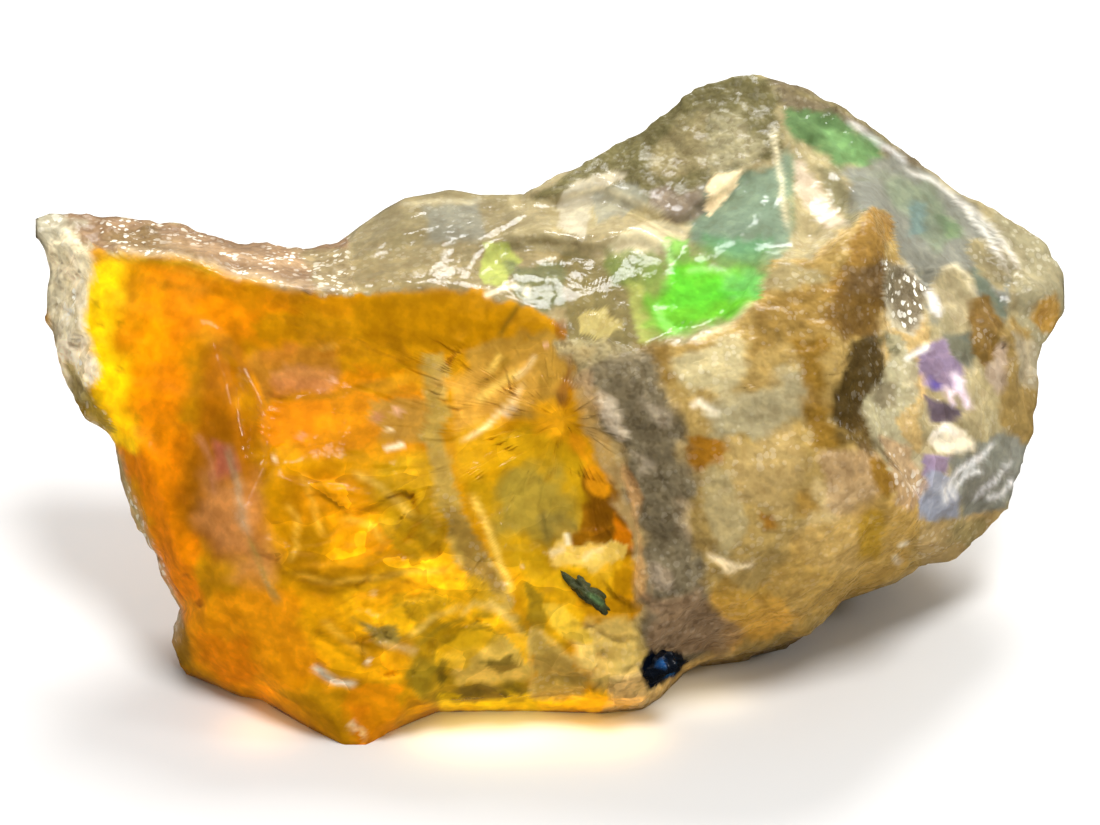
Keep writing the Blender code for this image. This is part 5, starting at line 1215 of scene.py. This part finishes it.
# %% Patches behind
BACK_PATCHES = {
    "back_yellow": ("amber", "marigold", 0.9, 0.9, [(-177, 182), (-146, 178), (-140, 110), (-155, 107),
        (-173, 141)]),
    "back_deep": ("amber", "burnt_orange", 0.9, 0.9, [(-96, 110), (4, 117), (17, 64), (-43, 38), (-103, 44)]),
    "back_scar": ("amber", "pumpkin", 0.5, 0.8, [(-116, 150), (-56, 150), (-43, 110), (-82, 90),
        (-123, 110)]),
    "back_milky": ("milky", "milk", 1, 1, [(-68, 186), (-24, 192), (24, 209), (65, 234), (121, 210),
        (182, 175), (182, 110), (146, 93), (103, 124), (50, 140), (4, 140), (-23, 153), (-56, 153)]),
    "back_green": ("painted_glow", "sage", 1, 0.35, [(31, 178), (71, 184), (97, 164), (70, 143), (37, 150)]),
    "back_haze": ("haze", "sand_gold", 0.5, 0.8, [(4, 140), (50, 140), (56, 94), (30, 64), (4, 84)]),
    "back_lilac": ("painted_glow", "mauve", 0.6, 0.35, [(111, 171), (140, 161), (139, 134), (110, 140)]),
    "back_pale": ("milky", "bone", 0.8, 0.5, [(-10, 178), (31, 191), (51, 171), (23, 150), (-6, 153)]),
    "back_brown": ("amber", "tea_brown", 0.7, 0.6, [(-82, 90), (-43, 104), (-10, 84), (-36, 58), (-76, 64)]),
    "back_marigold": ("lit_amber", "orange_under_vein", 0.8, 0.6, [(-144, 150), (-103, 144), (-96, 97),
        (-126, 94), (-147, 117)]),
    "back_rock": ("rock", "tan", 0.2, 1, [(46, 123), (103, 130), (146, 103), (169, 103), (154, 49), (51, 36),
        (33, 64), (36, 97)]),
    "back_rock_ochre": ("rock", "lump_far_ochre", 0.3, 0.8, [(63, 107), (96, 117), (117, 94), (90, 71),
        (63, 84)]),
    "back_rock_cream": ("rock", "oat", 0.3, 0.8, [(103, 104), (138, 100), (140, 69), (112, 63)]),
    "back_vein": ("vein", "vein_grey", 0.4, 0.7, [(17, 94), (30, 104), (46, 64), (44, 37), (30, 38),
        (23, 71)]),
    "back_crust": ("crust", "milk", 0.2, 0.9, [(-178, 186), (-105, 174), (-68, 173), (-68, 163), (-110, 163),
        (-166, 168)]),
    "back_peak": ("peak", "moss_grey", 0.25, 0.9, [(17, 202), (52, 227), (70, 232), (100, 222), (92, 202),
        (65, 198), (31, 188)]),
    "back_foot": ("amber", "pumpkin", 0.5, 0.9, [(-135, 63), (-43, 51), (17, 48), (30, 38), (17, -6),
        (-72, -17), (-137, 14)]),
    "back_foot_haze": ("haze", "sand_gold", 0.4, 0.7, [(-43, 38), (17, 44), (37, 37), (31, 9), (-37, 6)]),
}
print("patches behind:", len(BACK_PATCHES))

# %% Lay the paint
# The fourth number of the paint says how shattered the place is. A stroke thinner than the mesh would break
# up into dots, so it is laid at the thinnest width the mesh holds, and paler.
THINNEST = 0.105  # mm, half the width of the finest line the mesh holds
SHARPEST = 0.13  # mm, the sharpest edge it holds


def nearby(place, points, reach):
    """The numbers of the places that lie in the box round these points, widened by reach."""
    low, high = np.min(points, axis=0) - reach, np.max(points, axis=0) + reach
    return np.flatnonzero(np.all((place > low) & (place < high), axis=1))


def mixed_in(layer, near, share, value):
    """layer + share * (value - layer), at these places only."""
    layer[near] += share[:, None] * (np.array(value) - layer[near])


def painted(place, patches, strokes, ground, seed):
    """Colour and traits at each place: the ground, then every patch in its order, then every stroke."""
    finish, paint = ground
    colour = np.tile(linear(paint), (len(place), 1))
    traits = np.tile(np.array(FINISHES[finish]), (len(place), 1))
    for number, (finish, paint, soft, strength, outline) in enumerate(patches.values()):
        outline, soft = np.array(outline) / 10, max(soft, SHARPEST)
        near = nearby(place, outline, 0.5 + soft)
        wander, cell = 0.07 + 0.45 * soft, 0.5 + soft
        share = strength * ragged(*place[near].T, outline, soft, wander, cell, seed + number)
        mixed_in(colour, near, share, linear(paint))
        mixed_in(traits, near, share, FINISHES[finish])
    for finish, paint, width, strength, line in strokes.values():
        strength *= min(width / THINNEST, 1.0) ** 0.5
        width = max(width, THINNEST)
        near = nearby(place, line, 3 * width)
        sway = [fractal(place[near], 0.7, draw) for draw in (seed, seed + 9)]
        swayed = place[near] + 0.5 * width * np.stack(sway, axis=1)
        share = strength * crest(*swayed.T, line, width, 1.0)
        mixed_in(colour, near, share, linear(paint))
        mixed_in(traits, near, share, FINISHES[finish])
    return colour, traits


front_count = ROUND * FRONT_RINGS + 1
in_front, behind = face_points[:front_count, :2], face_points[front_count:, :2]
front_paint = painted(in_front, PATCHES, STROKES, ("amber", "honey"), 100)
back_paint = painted(behind, BACK_PATCHES, {}, ("amber", "honey"), 400)
colours, traits = (np.concatenate(pair) for pair in zip(front_paint, back_paint))
colours = np.concatenate([colours, shattered(face_points)[:, None]], axis=1)
print("painted", len(colours), "points; mean colour", colours.mean(0)[:3].round(2))

# %% Write the paint into the mesh
def written(mesh, name, values):
    """A colour attribute with four numbers for each point."""
    attribute = mesh.color_attributes.new(name, "FLOAT_COLOR", "POINT")
    attribute.data.foreach_set("color", values.astype(np.float32).ravel())


written(stone_mesh, "paint", colours)
written(stone_mesh, "traits", traits)
print("attributes:", [a.name for a in stone_mesh.color_attributes])

# %% [markdown]
# ## The opal's material
# One material serves the whole stone. Its shader gets the painted colour, and the traits tell it how clear,
# how gritty and how much painted glow each place has, and how many painted glints it holds. Grain that is
# finer than the mesh comes from noise on Object coordinates, which stay with the stone. The values that are
# the same everywhere, such as the index of refraction, are set on the shader.

# %% Helpers for nodes
def new_material(name):
    """A node material, its tree, and its Principled shader."""
    material = bpy.data.materials.new(name)
    material.use_nodes = True
    return material, material.node_tree, material.node_tree.nodes["Principled BSDF"]


def add(tree, kind, inputs=None, **settings):
    """A node: its settings are set, and each input is a value or another node's output."""
    made = tree.nodes.new("ShaderNode" + kind)
    for key, value in settings.items():
        setattr(made, key, value)
    for key, value in (inputs or {}).items():
        if isinstance(value, bpy.types.NodeSocket):
            tree.links.new(value, made.inputs[key])
        else:
            made.inputs[key].default_value = value
    return made


def maths(tree, operation, *values, clamp=False):
    """A Math node on numbers or sockets."""
    return add(tree, "Math", dict(enumerate(values)), operation=operation, use_clamp=clamp).outputs[0]


def between(tree, value, low, high):
    """A smooth ramp: 0 where the value is at low or under it, 1 at high or over it."""
    inputs = {"Value": value, "From Min": low, "From Max": high}
    return add(tree, "MapRange", inputs, interpolation_type="SMOOTHSTEP").outputs["Result"]


def blended(tree, share, first, second, blend="MIX"):
    """A Mix node on colours: the first where the share is 0, the second where it is 1."""
    mix = add(tree, "Mix", data_type="RGBA", blend_type=blend)
    for socket, value in ((mix.inputs["Factor"], share), (mix.inputs[6], first), (mix.inputs[7], second)):
        if isinstance(value, bpy.types.NodeSocket):
            tree.links.new(value, socket)
        else:
            socket.default_value = value
    return mix.outputs[2]


def grain(tree, millimetres, cell, detail=3.0, stretch=(1, 1, 1)):
    """Noise from about 0 to 1 with cells of that size, longer along an axis where stretch is over 1."""
    mapping = add(tree, "Mapping", {"Vector": millimetres, "Scale": tuple(1 / s for s in stretch)})
    inputs = {"Vector": mapping.outputs[0], "Scale": 1 / cell, "Detail": detail}
    return add(tree, "TexNoise", inputs).outputs["Fac"]


def in_millimetres(tree):
    """Object coordinates times 1000, so that the scales below are in millimetres."""
    place = add(tree, "TexCoord").outputs["Object"]
    return add(tree, "VectorMath", {0: place, 1: (1000, 1000, 1000)}, operation="MULTIPLY").outputs[0]


def warped(tree, millimetres, cell, reach):
    """The coordinates pushed to and fro by noise with cells of that size, by up to half the reach."""
    noise = add(tree, "TexNoise", {"Vector": millimetres, "Scale": 1 / cell, "Detail": 0.0}).outputs["Color"]
    scaled = {0: noise, 1: (reach,) * 3, 2: (-reach / 2,) * 3}
    push = add(tree, "VectorMath", scaled, operation="MULTIPLY_ADD")
    return add(tree, "VectorMath", {0: millimetres, 1: push.outputs[0]}, operation="ADD").outputs[0]


# %% Opal: what the mesh tells the material
opal, tree, shader = new_material("opal")
millimetres = in_millimetres(tree)
paint_read = add(tree, "Attribute", attribute_name="paint")
paint, splintered = paint_read.outputs["Color"], paint_read.outputs["Alpha"]
traits_read = add(tree, "Attribute", attribute_name="traits")
split = add(tree, "SeparateColor", {"Color": traits_read.outputs["Color"]})
clear, grit, painted_glow = (split.outputs[k] for k in range(3))
glint_flecks = traits_read.outputs["Alpha"]

# %% Opal: colour
flow = grain(tree, millimetres, 1.3, 1.0, stretch=(1.5, 1, 0.8))
swirl = between(tree, flow, 0.34, 0.66)
mottle = grain(tree, millimetres, 0.42, 2.0)
bent = warped(tree, millimetres, 0.9, 0.5)
turned_cells = {"Vector": bent, "Rotation": (0.4, 0.5, 0.3), "Scale": (0.55, 1.3, 1.0)}
long_cells = add(tree, "Mapping", turned_cells).outputs[0]
veils = add(tree, "TexVoronoi", {"Vector": long_cells, "Scale": 0.9})
veil_tone = add(tree, "SeparateColor", {"Color": veils.outputs["Color"]}).outputs[0]
light_flow = blended(tree, maths(tree, "MULTIPLY", swirl, 0.26), paint, (1.5, 1.42, 1.3, 1), "MULTIPLY")
dark_swirl = maths(tree, "MULTIPLY", maths(tree, "SUBTRACT", 1.0, swirl), 0.26)
tinted = blended(tree, dark_swirl, light_flow, (0.66, 0.55, 0.44, 1), "MULTIPLY")
light_mottle = maths(tree, "MULTIPLY", between(tree, mottle, 0.50, 0.66), 0.34)
mottled = blended(tree, light_mottle, tinted, (1.5, 1.45, 1.35, 1), "MULTIPLY")
dark_mottle = maths(tree, "MULTIPLY", between(tree, mottle, 0.50, 0.34), 0.28)
mottled = blended(tree, dark_mottle, mottled, (0.62, 0.52, 0.42, 1), "MULTIPLY")

lit_veil = maths(tree, "MULTIPLY", between(tree, veil_tone, 0.5, 1.0), splintered)
mottled = blended(tree, maths(tree, "MULTIPLY", lit_veil, 0.55), mottled, (1.55, 1.5, 1.7, 1), "MULTIPLY")
dark_veil = maths(tree, "MULTIPLY", between(tree, veil_tone, 0.5, 0.0), splintered)
mottled = blended(tree, maths(tree, "MULTIPLY", dark_veil, 0.5), mottled, (0.62, 0.56, 0.5, 1), "MULTIPLY")
# Painted highlights along the edges between the splinter cells, where the opal is shattered.
lit_cell_edges = maths(tree, "MULTIPLY", between(tree, veils.outputs["Distance"], 0.52, 0.80), splintered)
mottled = blended(tree, maths(tree, "MULTIPLY", lit_cell_edges, 0.5), mottled, (1.7, 1.65, 1.6, 1), "MULTIPLY")

crumbs = grain(tree, millimetres, 0.30, 1.0)
grains = add(tree, "TexVoronoi", {"Vector": millimetres, "Scale": 1 / 0.21})
grain_tone = add(tree, "SeparateColor", {"Color": grains.outputs["Color"]}).outputs[0]
sand = between(tree, maths(tree, "SUBTRACT", grain_tone, grains.outputs["Distance"]), 0.0, 0.7)
dark_crumbs = maths(tree, "MULTIPLY", between(tree, crumbs, 0.50, 0.36), grit)
pale_sand = maths(tree, "MULTIPLY", sand, grit)
crumb_share = maths(tree, "MULTIPLY", dark_crumbs, 0.50)
crumbled = blended(tree, crumb_share, mottled, (0.42, 0.36, 0.27, 1), "MULTIPLY")
sand_share = maths(tree, "MULTIPLY", pale_sand, 0.20)
sanded = blended(tree, sand_share, crumbled, (1.7, 1.65, 1.5, 1), "MULTIPLY")

# Painted glints: white flecks on the lighter sand grains in the swirls, as many as the flecks trait asks for.
glint_fleck_share = maths(tree, "MULTIPLY", between(tree, sand, 0.25, 0.55), swirl)
glint_fleck_share = maths(tree, "MULTIPLY", maths(tree, "MULTIPLY", glint_fleck_share, glint_flecks), 1.5, clamp=True)
finished_colour = blended(tree, glint_fleck_share, sanded, (0.93, 0.88, 0.74, 1))
tree.links.new(finished_colour, shader.inputs["Base Color"])
print("opal: colour from paint, flow, mottle, crumbs, sand and flecks")

# %% Opal: light and gloss
see_through = maths(tree, "MULTIPLY", clear, maths(tree, "SUBTRACT", 1.0, glint_fleck_share))
tree.links.new(see_through, shader.inputs["Transmission Weight"])
gloss_noise = maths(tree, "MULTIPLY", maths(tree, "SUBTRACT", mottle, 0.5), 0.16)
base_roughness = maths(tree, "ADD", maths(tree, "MULTIPLY", grit, 0.45), 0.06)
roughness = maths(tree, "MAXIMUM", maths(tree, "ADD", base_roughness, gloss_noise), 0.04)
tree.links.new(roughness, shader.inputs["Roughness"])
shader.inputs["IOR"].default_value = 1.37
shader.inputs["Specular IOR Level"].default_value = 0.07
shader.inputs["Coat Weight"].default_value = 0.08
shader.inputs["Coat Roughness"].default_value = 0.06
# Painted glow: the paint shines with light of its own as far as the glow trait says, most in the lit amber,
# where it stands for light scattered inside the stone, and in the play-of-colour patches.
tree.links.new(finished_colour, shader.inputs["Emission Color"])
tree.links.new(maths(tree, "MULTIPLY", painted_glow, 0.45), shader.inputs["Emission Strength"])
absorption = add(tree, "VolumeAbsorption", {"Color": (1.0, 0.78, 0.42, 1), "Density": 12.0})
tree.links.new(absorption.outputs[0], tree.nodes["Material Output"].inputs["Volume"])
print("opal: index of refraction", round(shader.inputs["IOR"].default_value, 2))

# %% Opal: bump
roughened = maths(tree, "ADD", maths(tree, "MULTIPLY", grit, 0.85), 0.10)
heights = maths(tree, "MULTIPLY", crumbs, roughened)
bump = add(tree, "Bump", {"Height": heights, "Strength": 1.0, "Distance": 0.00013})
tree.links.new(bump.outputs[0], shader.inputs["Normal"])
print("opal: bump from crumbs, more of it where the stone is gritty")

# %% The stone
stone = new_piece("opal", stone_mesh, opal)
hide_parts("opal_stone")
print("stone stands for the solid opal_stone")

# %% [markdown]
# ## Grains shut in the stone
# Two grains of dark mineral lie half in the surface near the vein: a long green one with a pale heart, and a
# blue-black lump at the foot of the vein. Each is a ball squeezed to three half lengths and dented by noise.

# %% Mineral
mineral, tree, shader = new_material("dark_mineral")
millimetres = in_millimetres(tree)
own_paint = add(tree, "Attribute", attribute_name="paint").outputs["Color"]
cloudy = grain(tree, millimetres, 0.25, 3.0)
mineral_colour = blended(tree, between(tree, cloudy, 0.35, 0.65), own_paint, (1.6, 1.6, 1.4, 1), "MULTIPLY")
tree.links.new(mineral_colour, shader.inputs["Base Color"])
tree.links.new(maths(tree, "ADD", maths(tree, "MULTIPLY", cloudy, 0.3), 0.12), shader.inputs["Roughness"])
bump = add(tree, "Bump", {"Height": cloudy, "Strength": 0.6, "Distance": 0.0001})
tree.links.new(bump.outputs[0], shader.inputs["Normal"])
print("dark mineral: colour, roughness and bump from one cloudy noise")

# %% Grains
GRAINS = {
    "green_grain": ((1.27, 5.30), (0.92, 0.30, 0.24), -39, 91, "mineral_green", "mineral_heart"),
    "navy_grain": ((3.48, 2.85), (0.62, 0.46, 0.32), 28, 92, "navy", "blue"),
}
GRAIN_ROUND, GRAIN_RINGS = 40, 19
GRAIN_SUNK = np.array([0, 0, -0.06])  # mm


def grain_form(centre, half, turn, seed):
    """place(u, v) = centre + turned(half * (cos u cos v, sin u cos v, sin v)) * (1 + 0.3 * noise), and the
    two poles, which come last."""
    u = np.arange(GRAIN_ROUND) * math.tau / GRAIN_ROUND
    v = (np.arange(GRAIN_RINGS) + 1) / (GRAIN_RINGS + 1) * math.pi - math.pi / 2
    ball = np.stack([np.cos(u) * np.cos(v)[:, None], np.sin(u) * np.cos(v)[:, None],
                     np.broadcast_to(np.sin(v)[:, None], (GRAIN_RINGS, GRAIN_ROUND))], axis=-1).reshape(-1, 3)
    ball = np.concatenate([ball, [[0, 0, -1], [0, 0, 1]]])
    form = ball * half * (1 + 0.3 * fractal(ball * 2 + seed, 0.9, seed))[:, None]
    cos, sin = math.cos(math.radians(turn)), math.sin(math.radians(turn))
    x, y, z = form.T
    return ball, centre + np.stack([x * cos - y * sin, x * sin + y * cos, z], axis=1)


def ball_faces(around, rings):
    """Quads between the rings, and fans to both poles, whose numbers come last."""
    ring = [np.arange(around) + around * k for k in range(rings)]
    quads = np.concatenate([ring_faces(a, b, False) for a, b in zip(ring, ring[1:])])
    first = np.stack([np.roll(ring[0], -1), ring[0], np.full(around, around * rings)], axis=1)
    last = np.stack([ring[-1], np.roll(ring[-1], -1), np.full(around, around * rings + 1)], axis=1)
    return quads, np.concatenate([first, last])


for name, ((grain_across, grain_up), half, turn, seed, edge_paint, heart_paint) in GRAINS.items():
    nearest = np.hypot(in_front[:, 0] - grain_across, in_front[:, 1] - grain_up).argmin()
    ball, form = grain_form(face_points[nearest] + GRAIN_SUNK, np.array(half), turn, seed)
    placed = upright(form) + cad_middle - middle
    mesh = new_mesh(name + "_surface", placed * MM, *ball_faces(GRAIN_ROUND, GRAIN_RINGS))
    heart = np.clip(1 - np.hypot(ball[:, 0] - 0.35, ball[:, 1]) / 0.45, 0, 1)[:, None]
    tint = linear(edge_paint) + heart * (linear(heart_paint) - linear(edge_paint))
    written(mesh, "paint", np.concatenate([tint, np.ones((len(tint), 1))], axis=1))
    new_piece(name, mesh, mineral)
    print(name, "made of", len(mesh.polygons), "faces")


# %% [markdown]
# ## Floor, light and camera
# The stone lies on a white ground. The main light stands above it, in front and a little to the right. A
# second one stands high behind it, so that its edges glow, and a small one at the right draws glints. A
# pale tent fills the rest. Neither the ground nor the main light is mirrored in the stone: a glossy stone
# is often taken so, through a polarising filter, because a mirrored ground would hide its own colours. The
# camera looks along the broken face's own lean.

# %% Floor
GROUND_WHITE = (0.635, 0.63, 0.62)
floor_points = [(-1.5, -1.5, 0), (1.5, -1.5, 0), (1.5, 1.5, 0), (-1.5, 1.5, 0)]
floor_mesh = bpy.data.meshes.new("floor")
floor_mesh.from_pydata(floor_points, [], [(0, 1, 2, 3)])
floor = bpy.data.objects.new("floor", floor_mesh)
bpy.context.scene.collection.objects.link(floor)
floor_paint = bpy.data.materials.new("white_ground")
floor_paint.use_nodes = True
floor_shader = floor_paint.node_tree.nodes["Principled BSDF"]
floor_shader.inputs["Base Color"].default_value = (*GROUND_WHITE, 1)
floor_shader.inputs["Roughness"].default_value = 0.9
floor_shader.inputs["Specular IOR Level"].default_value = 0.1
floor_mesh.materials.append(floor_paint)
floor.visible_glossy = False  # not mirrored in the stone
print("floor: 3 m square")

# %% Lights
def area_light(name, place, target, size, power, colour=(1, 1, 1)):
    """A round lamp of that size in metres and power in watts, turned to a target."""
    light = bpy.data.lights.new(name, "AREA")
    light.shape, light.size, light.energy, light.color = "DISK", size, power, colour
    lamp = bpy.data.objects.new(name, light)
    lamp.location = place
    lamp.rotation_euler = (Vector(target) - Vector(place)).to_track_quat("-Z", "Y").to_euler()
    bpy.context.scene.collection.objects.link(lamp)
    return lamp


key = area_light("key_above", (0.055, -0.12, 0.36), (0, 0, 0), 0.12, 1.3)
key.visible_glossy = False  # it gives light, and no glare
area_light("high_back", (0.03, 0.22, 0.28), (0, 0, 0), 0.14, 1.1)
area_light("right_glint", (0.24, -0.04, 0.16), (0.01, 0, 0.01), 0.05, 0.16)

# %% [markdown]
# The amber end gathers the light and lets it out at its foot, where it lies on the ground as a warm streak.
# Working that out ray by ray would take far too long, so four small warm lights, each just above the
# ground, put it there. They face down, and aren't seen themselves.

# %% Warm light at the foot: across and towards the back in mm, width and depth in mm, power, colour
FOOT_LIGHTS = {
    "foot_glow_middle": (-2.3, 0.95, 5.5, 1.8, 0.000085, (1.0, 0.80, 0.36)),
    "foot_glow_right": (1.6, 0.95, 4.0, 1.8, 0.000050, (1.0, 0.60, 0.16)),
    "foot_glow_left": (-9.6, 1.2, 2.4, 2.0, 0.000022, (1.0, 0.50, 0.16)),
    "foot_glow_rock": (5.0, 3.0, 3.5, 1.6, 0.000022, (1.0, 0.78, 0.45)),
}
FOOT_LIGHT_HEIGHT = 1.2 * MM
for name, (across, back, width, depth, power, colour) in FOOT_LIGHTS.items():
    ground = shift + Vector((across, back, 0)) * MM
    lamp = area_light(name, ground + Vector((0, 0, FOOT_LIGHT_HEIGHT)), ground, width * MM, power, colour)
    lamp.data.shape, lamp.data.size_y = "ELLIPSE", depth * MM
    lamp.visible_camera = lamp.visible_glossy = lamp.visible_transmission = False
print("foot lights:", len(FOOT_LIGHTS))

# %% World: a tent that is bright above and behind, and dark on the camera's side
world = bpy.data.worlds.new("soft_tent")
world.use_nodes = True
sky = world.node_tree
direction = add(sky, "TexCoord").outputs["Generated"]
towards = add(sky, "VectorMath", {0: direction, 1: (0, 0.5, 0.866)}, operation="DOT_PRODUCT").outputs["Value"]
brightness = maths(sky, "ADD", maths(sky, "MULTIPLY", between(sky, towards, 0.0, 0.75), 0.55), 0.05)
sky.links.new(brightness, sky.nodes["Background"].inputs["Strength"])
sky.nodes["Background"].inputs["Color"].default_value = (1, 1, 1, 1)
bpy.context.scene.world = world
bpy.context.scene.view_settings.view_transform = "Standard"
print("lights: key above, high back, right glint, soft tent")

# %% Camera
CAMERA_FAR, AIM_UP, VIEW_WIDTH = 0.180, 0.01125, 0.0366667  # m
sight = Vector((0, -math.cos(FACE_LEAN), math.sin(FACE_LEAN)))
face_up = Vector((0, math.sin(FACE_LEAN), math.cos(FACE_LEAN)))
camera = bpy.data.objects.new("camera", bpy.data.cameras.new("camera"))
camera.location = shift + face_up * AIM_UP + sight * CAMERA_FAR
camera.rotation_euler = (-sight).to_track_quat("-Z", "Y").to_euler()
camera.data.lens = camera.data.sensor_width * CAMERA_FAR / VIEW_WIDTH
camera.data.clip_start = 0.005
bpy.context.scene.collection.objects.link(camera)
bpy.context.scene.camera = camera
print("camera:", round(camera.data.lens, 1), "mm lens,", CAMERA_FAR, "m away")
